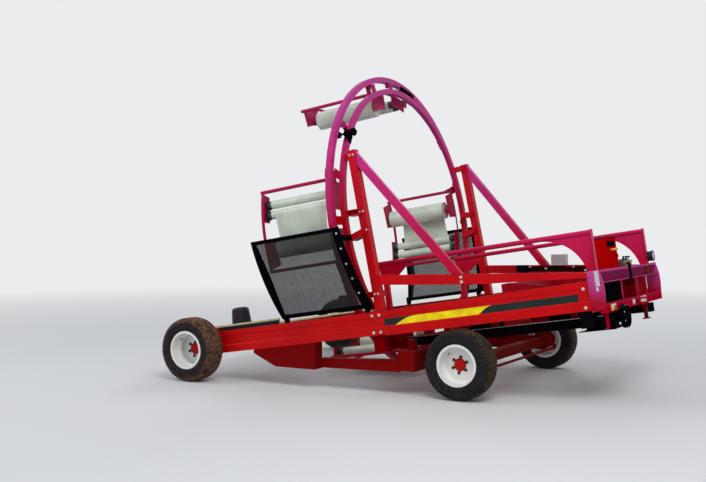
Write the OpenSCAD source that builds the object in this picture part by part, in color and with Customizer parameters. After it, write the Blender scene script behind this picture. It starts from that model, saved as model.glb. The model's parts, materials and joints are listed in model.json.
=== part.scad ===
// Trailed in-line bale wrapper: a nose-up frame on four wheels, with a hoop that carries film
// round the bales as a pusher moves them rearward. Millimetres. +X is the machine's front,
// +Z is up. "Chassis" coordinates have their origin at the hoop's centre, with X along the
// hoop's tilted axis and Z square to the bale table.

/* [Stance] */
// Nose-up pitch of the frame and hoop, degrees
frame_pitch = 8.8; // [8.4:0.1:9.2]
// Gap between a front tyre's top and the rail above it
tyre_gap = 27.7; // [25:0.1:32]
// From the front axle back to the hoop's centre
hoop_setback = 1240; // [1225:1:1255]
// Distance of the rear axle behind the rails' rear ends
axle_behind = 157; // [150:1:165]

/* [Wheels] */
// Radius of each tyre
tyre_r = 345; // [335:1:350]
// Width of each tyre
tyre_w = 262; // [240:2:270]
// Radius of the rim's bead seat
rim_r = 190; // [180:1:195]
// Height of the rim's flange over the bead seat
flange_h = 16; // [14:1:20]
// Grooves round each shoulder of a tyre
tyre_grooves = 20; // [16:1:26]
// Distance of the front wheels' middle inside the rear rails' outer face
front_inset = 188; // [184:1:195]
// Gap between a rear tyre and the rail's outer face
rear_gap = 25; // [20:1:32]
// Radius of each stub axle
spindle_r = 26; // [20:1:32]
// Running clearance round each spindle
spindle_fit = 0.05; // [0.02:0.01:0.1]
// Radius of each hub
hub_r = 64; // [58:1:70]
// Radius of the cap on each hub
hub_cap_r = 57; // [50:1:60]
// Disc of a front wheel, out from the wheel's middle
front_disc = 10; // [4:1:16]
// Disc of a rear wheel, out from the wheel's middle
rear_disc = -62; // [-66:1:-56]
// Distance of a kingpin inboard of its wheel's middle
kingpin_inset = 186; // [184:1:192]

/* [Hoop] */
// Outer radius of the turning ring
turn_ring_r = 1660; // [1640:1:1665]
// Radial depth of the turning ring's box section
turn_ring_depth = 60; // [55:1:65]
// Width of the turning ring's box section, along the axis
turn_ring_w = 60; // [50:1:64]
// Step from the turning ring's outer radius in to the fixed ring's
ring_step = 150; // [145:1:160]
// Radial depth of the fixed ring's box section
fixed_ring_depth = 56; // [50:1:60]
// Width of the fixed ring's box section
fixed_ring_w = 55; // [45:1:60]
// Gap between the two rings along the axis
ring_gap = 10; // [9:1:14]
// Radius of the guide rollers
guide_roller_r = 25; // [22:1:30]
// Running gap between a guide roller and the turning ring
roller_gap = 0.5; // [0.3:0.1:0.8]

/* [Film carriers] */
// Carriers round the turning ring
carriers = 4; // [2:1:4]
// Distance of the carriers' tubes inside the turning ring's outer radius
carrier_inset = 170; // [160:1:180]
// Length of a carrier behind the ring
carrier_len = 900; // [880:5:915]
// Half angle that a carrier spans
carrier_half = 16.5; // [15.5:0.5:17]
// Radius of the carrier's tubes
carrier_tube_r = 19; // [15:1:20]
// Radius of a film roll
film_r = 105; // [90:1:110]
// Length of a carrier that its film roll leaves free
film_free = 150; // [140:5:170]
// Distance of a film roll's axis inside the turning ring's outer radius
film_inset = 325; // [315:1:330]
// Angle of a film roll from its carrier's middle
film_angle = -8; // [-9:0.25:-7.5]
// Radius of the film roll's spindle
film_pin_r = 16; // [12:1:20]
// Radius of the stretch rollers
stretch_r = 44; // [38:1:48]
// Teeth of the gears that join two stretch rollers
gear_teeth = 18; // [14:1:24]

/* [Rails] */
// Gap between the turning ring and the rails' inner edges
rail_gap = 33; // [30:1:38]
// Top of the rails, below the hoop's centre
rail_top = 955; // [950:1:960]
// Height of the rear rails
rear_rail_h = 235; // [225:1:245]
// Height of the front rails at the splice
splice_h = 245; // [238:1:250]
// Height of the front rails at the front
front_rail_h = 287; // [280:1:290]
// How far the front rails' top rises towards the front
front_rise = 30; // [20:1:40]
// Sheet of the rails
rail_t = 6; // [5:0.5:8]
// Flange of the rails
rail_flange = 44; // [38:1:48]
// Rear end of the rear rails, behind the hoop's centre
rail_rear = 1835; // [1820:1:1840]
// Splice between rear and front rails, ahead of the hoop's centre
splice_at = 330; // [325:1:340]
// Front end of the front rails
rail_front = 2318; // [2310:1:2325]
// Outer face of the front rails at their front end
rail_front_y = 1080; // [1075:1:1085]

/* [Posts and braces] */
// Side of the hoop posts' square tube
post_side = 84; // [78:1:88]
// Middle of the posts inside the rails' outer face
post_inset = 46; // [44:1:48]
// How far back a post's head leans from its foot
post_lean = 84; // [78:1:90]
// Height of a post's head above the hoop's centre
post_head = 690; // [680:1:700]
// Width of the diagonal braces' tube
brace_w = 60; // [50:1:65]
// Depth of the diagonal braces' tube
brace_h = 82; // [76:1:88]

/* [Bale guides] */
// Distance of the guide arms inside the end plates
arm_inset = 110; // [105:1:115]
// Guide arms' tube, below the hoop's centre
arm_drop = 475; // [470:1:480]
// Radius of the guide arms' tube
arm_r = 24; // [20:1:26]
// Rear end of the guide arms
arm_rear = 100; // [98:1:110]

/* [Front end] */
// Width of the upper front channel, along the machine
channel_w = 130; // [120:1:132]
// Height of the upper front channel
channel_h = 125; // [120:1:130]
// Sheet of the upper front channel
channel_t = 8; // [6:1:10]
// Side of the lower front beam
front_beam_w = 62; // [56:1:66]
// Height of the lower front beam
front_beam_h = 84; // [80:1:88]
// Radius of the pin hole in the hitch lugs
tow_pin_r = 16; // [14:0.5:18]

/* [Guard] */
// Gap between the turning ring and the side guards round it
guard_gap = 52; // [48:1:56]
// Openings along each guard's mesh
mesh_columns = 12; // [8:1:12]
// Width of the arc plates of the side guards
guard_plate_w = 84; // [76:1:90]
// Thickness of the arc plates
guard_plate_t = 8; // [6:1:9]

/* [Hidden] */
$fn = 48;

// Clearance between pieces that lie against each other on different bodies
seat = 0.3;

// Signs of the two sides: near is -Y, far is +Y
near = -1;
far = 1;

// Levels below the hoop's centre, in the chassis frame
top_w = -rail_top;
rear_bottom_w = top_w - rear_rail_h;
splice_bottom_w = top_w - splice_h;
front_top_w = top_w + front_rise;
front_bottom_w = front_top_w - front_rail_h;
rib_w = top_w - 155;
table_w = top_w;

// Height of the hoop's centre: the rails stand over the front tyres
hoop_height = 2 * tyre_r + tyre_gap - hoop_setback * tan(frame_pitch)
    - splice_bottom_w / cos(frame_pitch);

// Radii about the hoop's axis
fixed_ring_r = turn_ring_r - ring_step;
carrier_r = turn_ring_r - carrier_inset;
film_path_r = turn_ring_r - film_inset;
film_len = carrier_len - film_free;
guard_r = turn_ring_r + guard_gap;

// Half widths: the rails stand just outside the turning ring
rail_y = sqrt(pow(turn_ring_r + rail_gap, 2) - rail_top * rail_top) + rail_flange + 8;
post_y = rail_y - post_inset;
front_track_y = rail_y - front_inset;
rear_track_y = rail_y + rear_gap + tyre_w / 2;
arm_y = rail_front_y - arm_inset;
flange_r = rim_r + flange_h;
kingpin_y = front_track_y - kingpin_inset;

// Posts, and the front ends of the arms
post_foot_at = splice_at - 34;
post_head_at = post_foot_at - post_lean;
arm_front = rail_front + 74;

// Rear axle: its place along the chassis, and from the front axle along the ground
axle_u = -rail_rear - axle_behind;
rear_axle_x = (axle_u - (tyre_r - hoop_height) * sin(frame_pitch)) / cos(frame_pitch)
    - hoop_setback;
axle_w = ((tyre_r - hoop_height) - axle_u * sin(frame_pitch)) / cos(frame_pitch);

// Lower front beam, and the hitch lugs on its front face
beam_u = rail_front + 80;
beam_w = front_bottom_w - 26;
lug_tip = beam_u + front_beam_w + 112;
lug_w = beam_w + 4;

// Foremost and rearmost points of the part, measured from the front axle
front_tip = lug_tip * cos(frame_pitch) - lug_w * sin(frame_pitch) - hoop_setback;
tail_tip = rear_axle_x - 520;
tail_tube_r = 32;
origin_x = (front_tip + tail_tip) / 2;

// Everything is drawn from the front axle's middle on the ground, then moved to the origin
module on_ground() {
    translate([-origin_x, 0, 0]) children();
}
module in_chassis() {
    on_ground() translate([-hoop_setback, 0, hoop_height]) rotate([0, -frame_pitch, 0]) children();
}
module both_sides() {
    children();
    mirror([0, 1, 0]) children();
}
module along_x(x0, len) {
    translate([x0, 0, 0]) rotate([90, 0, 90]) linear_extrude(len) children();
}
module along_y(y0, len) {
    translate([0, y0 + len, 0]) rotate([90, 0, 0]) linear_extrude(len) children();
}
module bar(p, q, wide, deep) {
    d = q - p;
    len = norm(d);
    translate(p) rotate([0, -asin(d[2] / len), atan2(d[1], d[0])])
        translate([0, -wide / 2, -deep / 2]) cube([len, wide, deep]);
}
module rod(p, q, r) {
    d = q - p;
    len = norm(d);
    translate(p) rotate([0, acos(d[2] / len), atan2(d[1], d[0])]) cylinder(r = r, h = len);
}
module hoop_turn(a) {
    // Angle from the near side, over the top
    rotate([-a, 0, 0]) mirror([0, 1, 0]) children();
}
module block(lo, hi) {
    translate(lo) cube(hi - lo);
}

// Rails

function rail_outline(y, top, bottom, rib) = [
    [y - 8 - rail_flange, top], [y - 8, top], [y - 8, top - 55], [y - 14, top - 61],
    [y - 14, rib + 6], [y, rib - 8], [y, bottom], [y - 8 - rail_flange, bottom],
    [y - 8 - rail_flange, bottom + rail_t], [y - rail_t, bottom + rail_t],
    [y - rail_t, rib - 8], [y - 14 - rail_t, rib + 6], [y - 14 - rail_t, top - 61],
    [y - 8 - rail_t, top - 55], [y - 8 - rail_t, top - rail_t],
    [y - 8 - rail_flange, top - rail_t]];

module rear_rails() {
    color("red") in_chassis() both_sides()
        along_x(-rail_rear, rail_rear + splice_at)
            polygon(rail_outline(rail_y, top_w, rear_bottom_w, rib_w));
}

front_len = norm([rail_front - splice_at, rail_y - rail_front_y]);
front_yaw = atan2(rail_y - rail_front_y, rail_front - splice_at);

// Children are drawn with X along the front rail and Y = 0 at its outer face
module at_front_rail() {
    translate([splice_at, rail_y, 0]) rotate([0, 0, -front_yaw]) children();
}

module front_rails() {
    color("red") in_chassis() both_sides() difference() {
        at_front_rail() {
            along_y(-20, 12) polygon([[-6, top_w], [front_len + 12, front_top_w],
                [front_len + 12, front_top_w - 60], [-6, top_w - 55]]);
            along_y(-20, rail_t) polygon([[-6, top_w - 40], [front_len + 12, front_top_w - 40],
                [front_len + 12, rib_w], [-6, rib_w]]);
            along_y(-8 - rail_flange, rail_flange) polygon([[-6, top_w], [front_len + 12, front_top_w],
                [front_len + 12, front_top_w - rail_t], [-6, top_w - rail_t]]);
            along_x(-6, front_len + 18) polygon([[-14, rib_w + 6], [0, rib_w - 8],
                [0, splice_bottom_w], [-8 - rail_flange, splice_bottom_w],
                [-8 - rail_flange, splice_bottom_w + rail_t], [-rail_t, splice_bottom_w + rail_t],
                [-rail_t, rib_w - 8], [-20, rib_w + 6]]);
        }
        // Ends cut square to the machine, against the rear rail and the front channel
        block([splice_at - 60, rail_y - 150, top_w - 345], [splice_at, rail_y + 50, top_w + 55]);
        block([rail_front, rail_front_y - 180, top_w - 345],
            [rail_front + 60, rail_front_y + 120, top_w + 55]);
    }
}

module splice_plates() {
    // Doubler inside each rail joint, with its bolts through to the outside
    color("red") in_chassis() both_sides() {
        block([splice_at - 150, rail_y - 30, rib_w + 6], [splice_at - 2, rail_y - 20, top_w - 62]);
    }
}

// Rear of the frame

table_front = -carrier_len - 110;
table_rear = -rail_rear - 195;
side_member_y = rail_y - 150;
// Flat bars of both tables, as fractions of the half width
table_bars = [0.2, 0.477, 0.738];

tail_x = tail_tip + tail_tube_r;
tail_z = 250;
// The tail tube's place in the chassis frame
tail_dx = tail_x + hoop_setback;
tail_dz = tail_z - hoop_height;
tail_u = tail_dx * cos(frame_pitch) + tail_dz * sin(frame_pitch);
tail_w = -tail_dx * sin(frame_pitch) + tail_dz * cos(frame_pitch);

module rear_table() {
    color("firebrick") in_chassis() {
        both_sides() {
            block([table_rear, side_member_y - 30, table_w - 80],
                [table_front, side_member_y + 30, table_w]);
            bar([table_rear + 40, side_member_y, table_w - 45], [tail_u, side_member_y, tail_w],
                56, 46);
            for (u = [table_front - 130, table_rear + 260])
                block([u, side_member_y + 30, table_w - 80],
                    [u + 80, rail_y - 14 - rail_t, table_w - 20]);
            for (y = table_bars * side_member_y)
                block([table_rear, y - 60, table_w - 24], [table_front, y + 60, table_w]);
            // Seat of the bumper
            block([table_rear + 300, side_member_y - 280, table_w - 12],
                [table_rear + 520, side_member_y - 30, table_w]);
        }
        for (u = [table_front - 130, (table_front + table_rear) / 2, table_rear + 10])
            block([u, -side_member_y, table_w - 84], [u + 80, side_member_y, table_w - 24]);
        translate([tail_u, side_member_y + 45, tail_w]) rotate([90, 0, 0])
            cylinder(r = tail_tube_r, h = 2 * side_member_y + 90);
    }
}

module slide_strips() {
    color("lightyellow") in_chassis() both_sides() {
        block([table_rear + 100, side_member_y - 26, table_w],
            [table_front - 10, side_member_y - 6, table_w + 62]);
        for (y = table_bars * side_member_y)
            block([table_rear + 10, y - 40, table_w], [table_front - 10, y + 40, table_w + 10]);
    }
}

module side_bumpers() {
    color("#1c1c22") in_chassis() both_sides()
        translate([table_rear + 410, side_member_y - 150, table_w]) rotate_extrude()
            polygon([[0, 0], [112, 0], [108, 60], [96, 205], [84, 226], [60, 236], [0, 238]]);
}

// Where a stub axle ends inside its hub
function stub_end(disc_y) = disc_y + 5;

module rear_stub_brackets() {
    color("red") {
        on_ground() both_sides() {
            translate([rear_axle_x, rear_track_y + stub_end(rear_disc), tyre_r]) rotate([90, 0, 0])
                cylinder(r = spindle_r, h = rear_track_y + stub_end(rear_disc) - rail_y + 44);
        }
        in_chassis() both_sides() {
            // End plate of the rail, and the box behind it that holds the stub axle
            block([-rail_rear - 10, rail_y - 100, rear_bottom_w - 62],
                [-rail_rear, rail_y + 4, top_w + 40]);
            block([axle_u - 70, rail_y - 100, axle_w - 60], [-rail_rear - 4, rail_y - 20, axle_w + 60]);
            block([-rail_rear - 4, rail_y - 60, top_w], [-rail_rear + 70, rail_y - 10, top_w + 36]);
        }
    }
}

// Lower running gear, level with the ground

lower_beam_z = [tyre_r - 123, tyre_r - 9];
lower_beam_y = rail_y - 195;
block_x = [-640, -455];
drop_front = -hoop_setback - 320;

module drop_plates() {
    // Box that hangs from each rear rail and carries the lower beam
    color("firebrick") on_ground() both_sides() difference() {
        along_y(lower_beam_y + 45, 150) polygon([[drop_front, lower_beam_z[0] - 17],
            [drop_front - 490, lower_beam_z[0] - 17], [drop_front - 770, lower_beam_z[0] + 108],
            [drop_front - 770, hoop_height - 1040], [drop_front, hoop_height - 1040]]);
        translate([-hoop_setback, 0, hoop_height]) rotate([0, -frame_pitch, 0])
            block([-rail_rear - 365, lower_beam_y - 255, rear_bottom_w],
                [400, lower_beam_y + 345, rear_bottom_w + 700]);
    }
}

module lower_beams() {
    color("firebrick") on_ground() both_sides() {
        along_y(lower_beam_y, 90) polygon([[drop_front, lower_beam_z[0] - 4],
            [drop_front, lower_beam_z[1] - 22], [block_x[0], lower_beam_z[1] + 20],
            [block_x[0], lower_beam_z[0] + 12]]);
    }
}

module front_axle() {
    color("firebrick") on_ground() {
        both_sides() {
            block([block_x[0], kingpin_y - 146, tyre_r - 95],
                [block_x[1], lower_beam_y + 105, tyre_r + 107]);
            block([block_x[1] - 10, kingpin_y - 146, tyre_r - 55], [60, kingpin_y - 86, tyre_r + 65]);
            block([-560, lower_beam_y - 55, tyre_r + 107], [-500, lower_beam_y + 45, tyre_r + 215]);
            difference() {
                block([-52, kingpin_y - 101, tyre_r - 90], [52, kingpin_y + 44, tyre_r + 90]);
                block([-60, kingpin_y - 40, tyre_r - 62], [60, kingpin_y + 186, tyre_r + 62]);
            }
            translate([0, kingpin_y, tyre_r - 105]) cylinder(r = 18, h = 210);
        }
        block([-50, 96 - kingpin_y, tyre_r - 50], [50, kingpin_y - 96, tyre_r + 50]);
        block([block_x[0] + 30, 136 - kingpin_y, tyre_r - 45],
            [block_x[1] - 30, kingpin_y - 136, tyre_r + 55]);
    }
}

// Posts, braces and side beams

mid_rear = [post_foot_at, post_y];
mid_len = norm([rail_front - post_foot_at, post_y - rail_front_y]);
mid_yaw = atan2(post_y - rail_front_y, rail_front - post_foot_at);

module post_tube() {
    bar([post_foot_at, post_y, top_w + 10], [post_head_at, post_y, post_head],
        post_side, post_side);
}

module hoop_posts() {
    color("crimson") in_chassis() both_sides() {
        post_tube();
        block([post_foot_at - 110, post_y - 36, top_w], [splice_at, post_y + 36, top_w + 12]);
    }
}

// Children are drawn with X along the mid beam, from the post's foot, and Y = 0 at its middle
module at_mid_beam() {
    translate([post_foot_at, post_y, 0]) rotate([0, 0, -mid_yaw]) children();
}

// Top of the mid beam at a distance from the post
function mid_top(x) = top_w + 361 - 0.1216 * x;
// Middle of a post at a level
function post_u(w) = post_head_at + post_lean * (post_head - w) / (post_head - top_w - 10);

module mid_beams() {
    color("crimson") in_chassis() both_sides() difference() {
        at_mid_beam() along_y(-20, 40) polygon([[0, mid_top(0)], [mid_len + 20, mid_top(mid_len + 20)],
            [mid_len + 20, top_w + 60], [mid_len - 1000, top_w + 133], [0, top_w + 262]]);
        post_tube();
        block([rail_front, rail_front_y - 80, top_w], [rail_front + 60, rail_front_y + 70, top_w + 155]);
    }
}

module diagonal_braces() {
    head = [post_head_at + 2, post_y, post_head - 30];
    foot_x = post_foot_at + 822;
    foot = [foot_x, post_y - (foot_x - post_foot_at) * tan(mid_yaw), top_w + 255];
    color("crimson") in_chassis() both_sides() difference() {
        bar(head, head + 1.06 * (foot - head), brace_w, brace_h);
        // Coped round the post and cut along the mid beam's top
        post_tube();
        at_mid_beam() along_y(-80, 160) polygon([[-60, mid_top(-60)], [mid_len, mid_top(mid_len)],
            [mid_len, top_w - 245], [-60, top_w - 245]]);
    }
}

module guide_arms() {
    gusset_t = 10;
    front_cut = [arm_front - 512, channel_top - 94];
    color("crimson") in_chassis() both_sides() {
        rod([arm_rear, arm_y, -arm_drop], [arm_front, arm_y, -arm_drop], arm_r);
        // Front gusset with its round cut, and the flat bar down its front edge
        difference() {
            along_y(arm_y - gusset_t / 2, gusset_t) polygon([[arm_front, -arm_drop],
                [arm_front - 487, -arm_drop], [arm_front - 487, channel_top], [arm_front, channel_top]]);
            translate([front_cut[0], arm_y - 20, front_cut[1]]) rotate([-90, 0, 0])
                cylinder(r = 430, h = 40, $fn = 96);
        }
        block([arm_front - 10, arm_y - 30, channel_top], [arm_front, arm_y + 30, -arm_drop + 28]);
        // Rear gusset and strut
        along_y(arm_y - gusset_t / 2, gusset_t) polygon([[arm_rear, -arm_drop], [arm_rear + 370, -arm_drop],
            [arm_rear + 290, -arm_drop - 85], [arm_rear + 190, -arm_drop - 165],
            [arm_rear + 20, -arm_drop - 165]]);
        block([arm_rear + 40, arm_y - 25, table_w], [arm_rear + 90, arm_y + 25, -arm_drop - 125]);
    }
}

// Outline of an end plate: [ahead of the rail's end, above the channel's top]
end_outline = [[0, -6], [108, 4], [134, -44], [148, -124], [150, -224], [142, -314], [122, -367], [0, -386]];

module end_plates() {
    color("mediumvioletred") in_chassis() both_sides() {
        along_y(rail_front_y, 8) polygon([for (p = end_outline) [rail_front + p[0], channel_top + p[1]]]);
    }
}

// Front end

channel_u = rail_front;
channel_top = front_top_w + 89;

module front_channel() {
    color("crimson") in_chassis() along_y(-rail_front_y, 2 * rail_front_y)
        polygon([[channel_u, channel_top], [channel_u + channel_w, channel_top],
            [channel_u + channel_w, channel_top - 22],
            [channel_u + channel_w - channel_t, channel_top - 22],
            [channel_u + channel_w - channel_t, channel_top - channel_t],
            [channel_u + channel_t, channel_top - channel_t],
            [channel_u + channel_t, channel_top - channel_h + channel_t],
            [channel_u + channel_w, channel_top - channel_h + channel_t],
            [channel_u + channel_w, channel_top - channel_h],
            [channel_u, channel_top - channel_h]]);
}

module front_beam() {
    color("crimson") in_chassis() {
        block([beam_u, -rail_front_y, beam_w], [beam_u + front_beam_w, rail_front_y, beam_w + front_beam_h]);
        for (y = [-300, 290, 660])
            block([beam_u, y, beam_w + front_beam_h], [beam_u + 12, y + 36, channel_top - channel_h]);
        // Plate that hangs below the near end
        block([beam_u + 6, -rail_front_y + 95, beam_w - 152], [beam_u + 16, -rail_front_y + 175, beam_w + 5]);
    }
}

track_y = [arm_y - 170, arm_y - 50];
track_w = [beam_w - 122, beam_w - 24];
track_u = [120, beam_u - 2];

module push_tracks() {
    color("#15151a") in_chassis() both_sides() difference() {
        block([track_u[0], track_y[0], track_w[0]], [track_u[1], track_y[1], track_w[1]]);
        block([track_u[0] - 1, track_y[0] - 1, track_w[0] + 16],
            [track_u[1] + 1, track_y[0] + 80, track_w[1] - 16]);
    }
}

// Cross members under the table, and the outriggers that tie the tracks to the rails
cross_u = [170, 1150, rail_front - 338];

module outriggers() {
    color("firebrick") in_chassis() {
        both_sides() {
            block([170, track_y[1], track_w[0]], [290, rail_y - 30, rear_bottom_w]);
            block([rail_front - 128, track_y[1], track_w[0]],
                [rail_front - 8, rail_front_y - 14, splice_bottom_w]);
        }
        for (u = cross_u)
            block([u, -track_y[0], track_w[0]], [u + 80, track_y[0], track_w[0] + 70]);
    }
}

front_bar_y = [(track_y[0] - 110) * 0.36, track_y[0] - 110];

module front_table() {
    color("firebrick") in_chassis() {
        both_sides() for (y = front_bar_y)
            block([110, y - 60, table_w - 50], [channel_u, y + 60, table_w]);
        for (u = cross_u, y = front_bar_y, s = [-1, 1])
            block([u + 10, s * y - 30, track_w[0] + 70], [u + 70, s * y + 30, table_w - 50]);
        block([110, 300 - rail_y, table_w - 60], [170, rail_y - 300, table_w]);
    }
}

module control_cabinet() {
    color("red") in_chassis() difference() {
        block([channel_u - 68, -520, channel_top], [channel_u + 58, -150, channel_top + 300]);
        block([channel_u + 46, -490, channel_top + 30], [channel_u + 60, -180, channel_top + 270]);
    }
}

module oil_tank() {
    color("darkred") in_chassis()
        for (y = [[-250, 248], [254, 610]])
            block([channel_u + 12, y[0], beam_w + front_beam_h], [beam_u - 2, y[1], channel_top - channel_h]);
}

engine_y = -610;
tray_w = beam_w - 168;
shaft_w = beam_w - 64;

// Children are drawn with the engine's middle at Y = 0, X = 0 at the beam's rear face and
// Z = 0 at the tray's top
module at_engine() {
    translate([beam_u, engine_y, tray_w + 8]) children();
}

module engine() {
    fan_r = 115;
    color("#202024") in_chassis() at_engine() {
        // Crankcase
        along_y(-130, 260) polygon([[-263, 0], [-13, 0], [-13, 180], [-48, 216], [-228, 216], [-263, 180]]);
        // Finned cylinder and its head
        block([-222, -88, 210], [-58, 88, 360]);
        for (k = [0:4])
            block([-238, -104, 232 + k * 28], [-42, 104, 242 + k * 28]);
        // Silencer with its pipe from the head, and the air cleaner on the other side
        translate([-180, 200, 300]) rotate([0, 90, 0]) cylinder(r = 42, h = 150);
        translate([-150, 80, 300]) rotate([-90, 0, 0]) cylinder(r = 16, h = 100);
        translate([-160, -165, 290]) rotate([-90, 0, 0]) cylinder(r = 52, h = 70);
        // Shaft housing under the beam, and the fan's housing with its slotted cover
        translate([-20, 0, shaft_w - tray_w - 8]) rotate([0, 90, 0]) {
            cylinder(r = 56, h = front_beam_w + 30);
            translate([0, 0, front_beam_w + 24]) difference() {
                union() {
                    cylinder(r = fan_r, h = 44);
                    translate([0, 0, 44]) cylinder(r1 = fan_r, r2 = fan_r - 14, h = 12);
                }
                for (k = [0:11])
                    rotate([0, 0, k * 30]) translate([44, -6, 46]) cube([50, 12, 20]);
            }
        }
    }
}

module engine_tray() {
    color("#202024") in_chassis() {
        block([beam_u - 308, engine_y - 240, tray_w], [beam_u + 42, engine_y + 240, tray_w + 8]);
        for (y = [engine_y - 250, engine_y + 240])
            block([beam_u + 2, y, tray_w], [beam_u + 56, y + 10, beam_w]);
    }
}

module valve_block() {
    // Bank of five spools with a lever and two hose fittings each
    color("silver") in_chassis() translate([channel_u + 12, -120, channel_top]) {
        block([0, 0, 0], [96, 280, 22]);
        for (i = [0:4]) translate([0, 8 + i * 54, 0]) {
            block([10, 0, 20], [86, 46, 66]);
            translate([66, 23, 60]) rotate([0, 30, 0]) {
                cylinder(r = 6, h = 84);
                translate([0, 0, 78]) cylinder(r = 12, h = 26);
            }
            for (z = [34, 52])
                translate([84, 23 + (z - 43) * 1.4, z]) rotate([0, 90, 0]) cylinder(r = 9, h = 26, $fn = 6);
        }
    }
}

module junction_box() {
    // Stands on the far mid beam
    x0 = mid_len - 1106;
    x1 = x0 + 160;
    color("gainsboro") in_chassis() at_mid_beam() along_y(-60, 110)
        polygon([[x0, mid_top(x0)], [x1, mid_top(x1)], [x1 + 14, mid_top(x1) + 124],
            [x0 + 14, mid_top(x0) + 124]]);
}

module work_lamp() {
    color("#2a2430") in_chassis() {
        translate([arm_front, arm_y + 20, -760]) rotate([0, 90, 0]) {
            cylinder(r = 55, h = 46);
            translate([0, 0, 46]) cylinder(r1 = 55, r2 = 60, h = 12);
        }
    }
}

module hitch_lugs() {
    // Two lugs on the front beam, with the pin hole through both
    color("red") in_chassis() difference() {
        union() {
            for (w = [lug_w, lug_w + 52]) {
                block([beam_u + front_beam_w, -50, w], [lug_tip - 50, 50, w + 20]);
                translate([lug_tip - 50, 0, w]) cylinder(r = 50, h = 20);
            }
        }
        translate([lug_tip - 50, 0, lug_w - 10]) cylinder(r = tow_pin_r, h = 100);
    }
}

jack_at = [beam_u - 32, 655];
jack_leg_r = 22;
jack_foot_w = beam_w - 181;

module jack_sleeve() {
    color("firebrick") in_chassis() difference() {
        union() {
            translate([jack_at[0], jack_at[1], beam_w - 62]) cylinder(r = jack_leg_r + 9, h = 140);
            block([jack_at[0], jack_at[1] - 22, beam_w + 6], [beam_u, jack_at[1] + 22, beam_w + 66]);
        }
        translate([jack_at[0], jack_at[1], beam_w - 70]) cylinder(r = jack_leg_r + spindle_fit, h = 160);
    }
}

module jack_leg() {
    color("dimgray") in_chassis() translate([jack_at[0], jack_at[1], jack_foot_w]) {
        cylinder(r = jack_leg_r, h = 434);
        cylinder(r = 45, h = 10);
    }
}

// Hoop

fixed_u = turn_ring_w / 2 + ring_gap;

module ring(r, depth, wide, u0) {
    translate([u0, 0, 0]) rotate([0, 90, 0]) difference() {
        cylinder(r = r, h = wide, $fn = 120);
        translate([0, 0, -1]) cylinder(r = r - depth, h = wide + 2, $fn = 120);
    }
}

module fixed_ring() {
    color("mediumvioletred") in_chassis() ring(fixed_ring_r, fixed_ring_depth, fixed_ring_w, fixed_u);
}

module turning_ring() {
    color("mediumvioletred") in_chassis() ring(turn_ring_r, turn_ring_depth, turn_ring_w, -turn_ring_w / 2);
}

// Angles of the guide rollers, from the near side over the top
roller_angles = [0, 18, 40, 74, 90, 106, 140, 162, 180, 222, 262, 278, 318];

module ring_rollers() {
    track = turn_ring_r - turn_ring_depth - guide_roller_r - roller_gap;
    color("crimson") in_chassis() for (a = roller_angles) hoop_turn(a) {
        translate([fixed_u - 8, fixed_ring_r - fixed_ring_depth, -45])
            cube([8, turn_ring_r - turn_ring_depth - 5 - fixed_ring_r + fixed_ring_depth, 90]);
        translate([-24, track, 0]) rotate([0, 90, 0]) cylinder(r = 9, h = 24 + fixed_u - 8);
        translate([-20, track, 0]) rotate([0, 90, 0]) cylinder(r = guide_roller_r, h = 44);
    }
}

// Ties from the fixed ring to each post: [level at the ring, rise to the post, open box or not]
ties = [[post_head - 50, 0, false], [60, 0, true], [-190, 60, false], [top_w + 175, 0, false]];
ring_face = fixed_u + fixed_ring_w;

// Just inside the fixed ring's outer edge at a level, and the outer edge of a tie there
function ring_y(w) = sqrt(pow(fixed_ring_r - 10, 2) - w * w);
function tie_y(w) = max(ring_y(w), post_y - 20);

module ring_brackets() {
    color("crimson") in_chassis() both_sides() for (t = ties) difference() {
        w = t[0];
        inner = min(ring_y(w), post_y - 20) - 60;
        along_y(inner, tie_y(w) - inner) polygon([[ring_face, w - 30], [ring_face, w + 30],
            [post_foot_at, w + t[1] + 30], [post_foot_at, w + t[1] - 30]]);
        post_tube();
        // Nothing is left ahead of the post
        block([post_u(w), post_y - 400, w - 60], [post_foot_at + 90, post_y + 200, w + t[1] + 60]);
        if (t[2])
            block([ring_face + 12, tie_y(w) - 60, w - 20], [post_foot_at, tie_y(w) + 1, w + 20]);
    }
}

drive_angle = 35;
drive_roller_r = 34;

module hoop_drive() {
    // Hydraulic motor on a plate of the fixed ring, with its roller against the turning ring
    track = turn_ring_r - turn_ring_depth - drive_roller_r - roller_gap;
    color("#202024") in_chassis() {
        hoop_turn(drive_angle) {
            translate([ring_face, fixed_ring_r - fixed_ring_depth, -50])
                cube([10, track + 40 - fixed_ring_r + fixed_ring_depth, 100]);
            translate([-24, track, 0]) rotate([0, 90, 0]) cylinder(r = drive_roller_r, h = 48);
            translate([20, track, 0]) rotate([0, 90, 0]) cylinder(r = 12, h = ring_face - 15);
            translate([ring_face + 5, track, 0]) rotate([0, 90, 0]) cylinder(r = 36, h = 80);
            translate([ring_face + 78, track - 30, -30]) cube([36, 60, 60]);
        }
        // Cover between the rings near the top
        translate([fixed_u + 20, 0, 0])
            sector(97, 12, fixed_ring_r, turn_ring_r - turn_ring_depth - 8, 8);
    }
}

// Side guards: a curved panel of mesh between two black arc plates

guard_top = -2.5;
guard_bottom = -asin((rail_top - 48) / guard_r);
guard_skew = 100;
guard_hi = guard_r * sin(guard_top);
guard_lo = guard_r * sin(guard_bottom);

// Edge of a guard plate at a level, from where it starts at the top
function guard_u(u_top, w) = u_top + guard_skew * (w - guard_hi) / (guard_lo - guard_hi);

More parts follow.
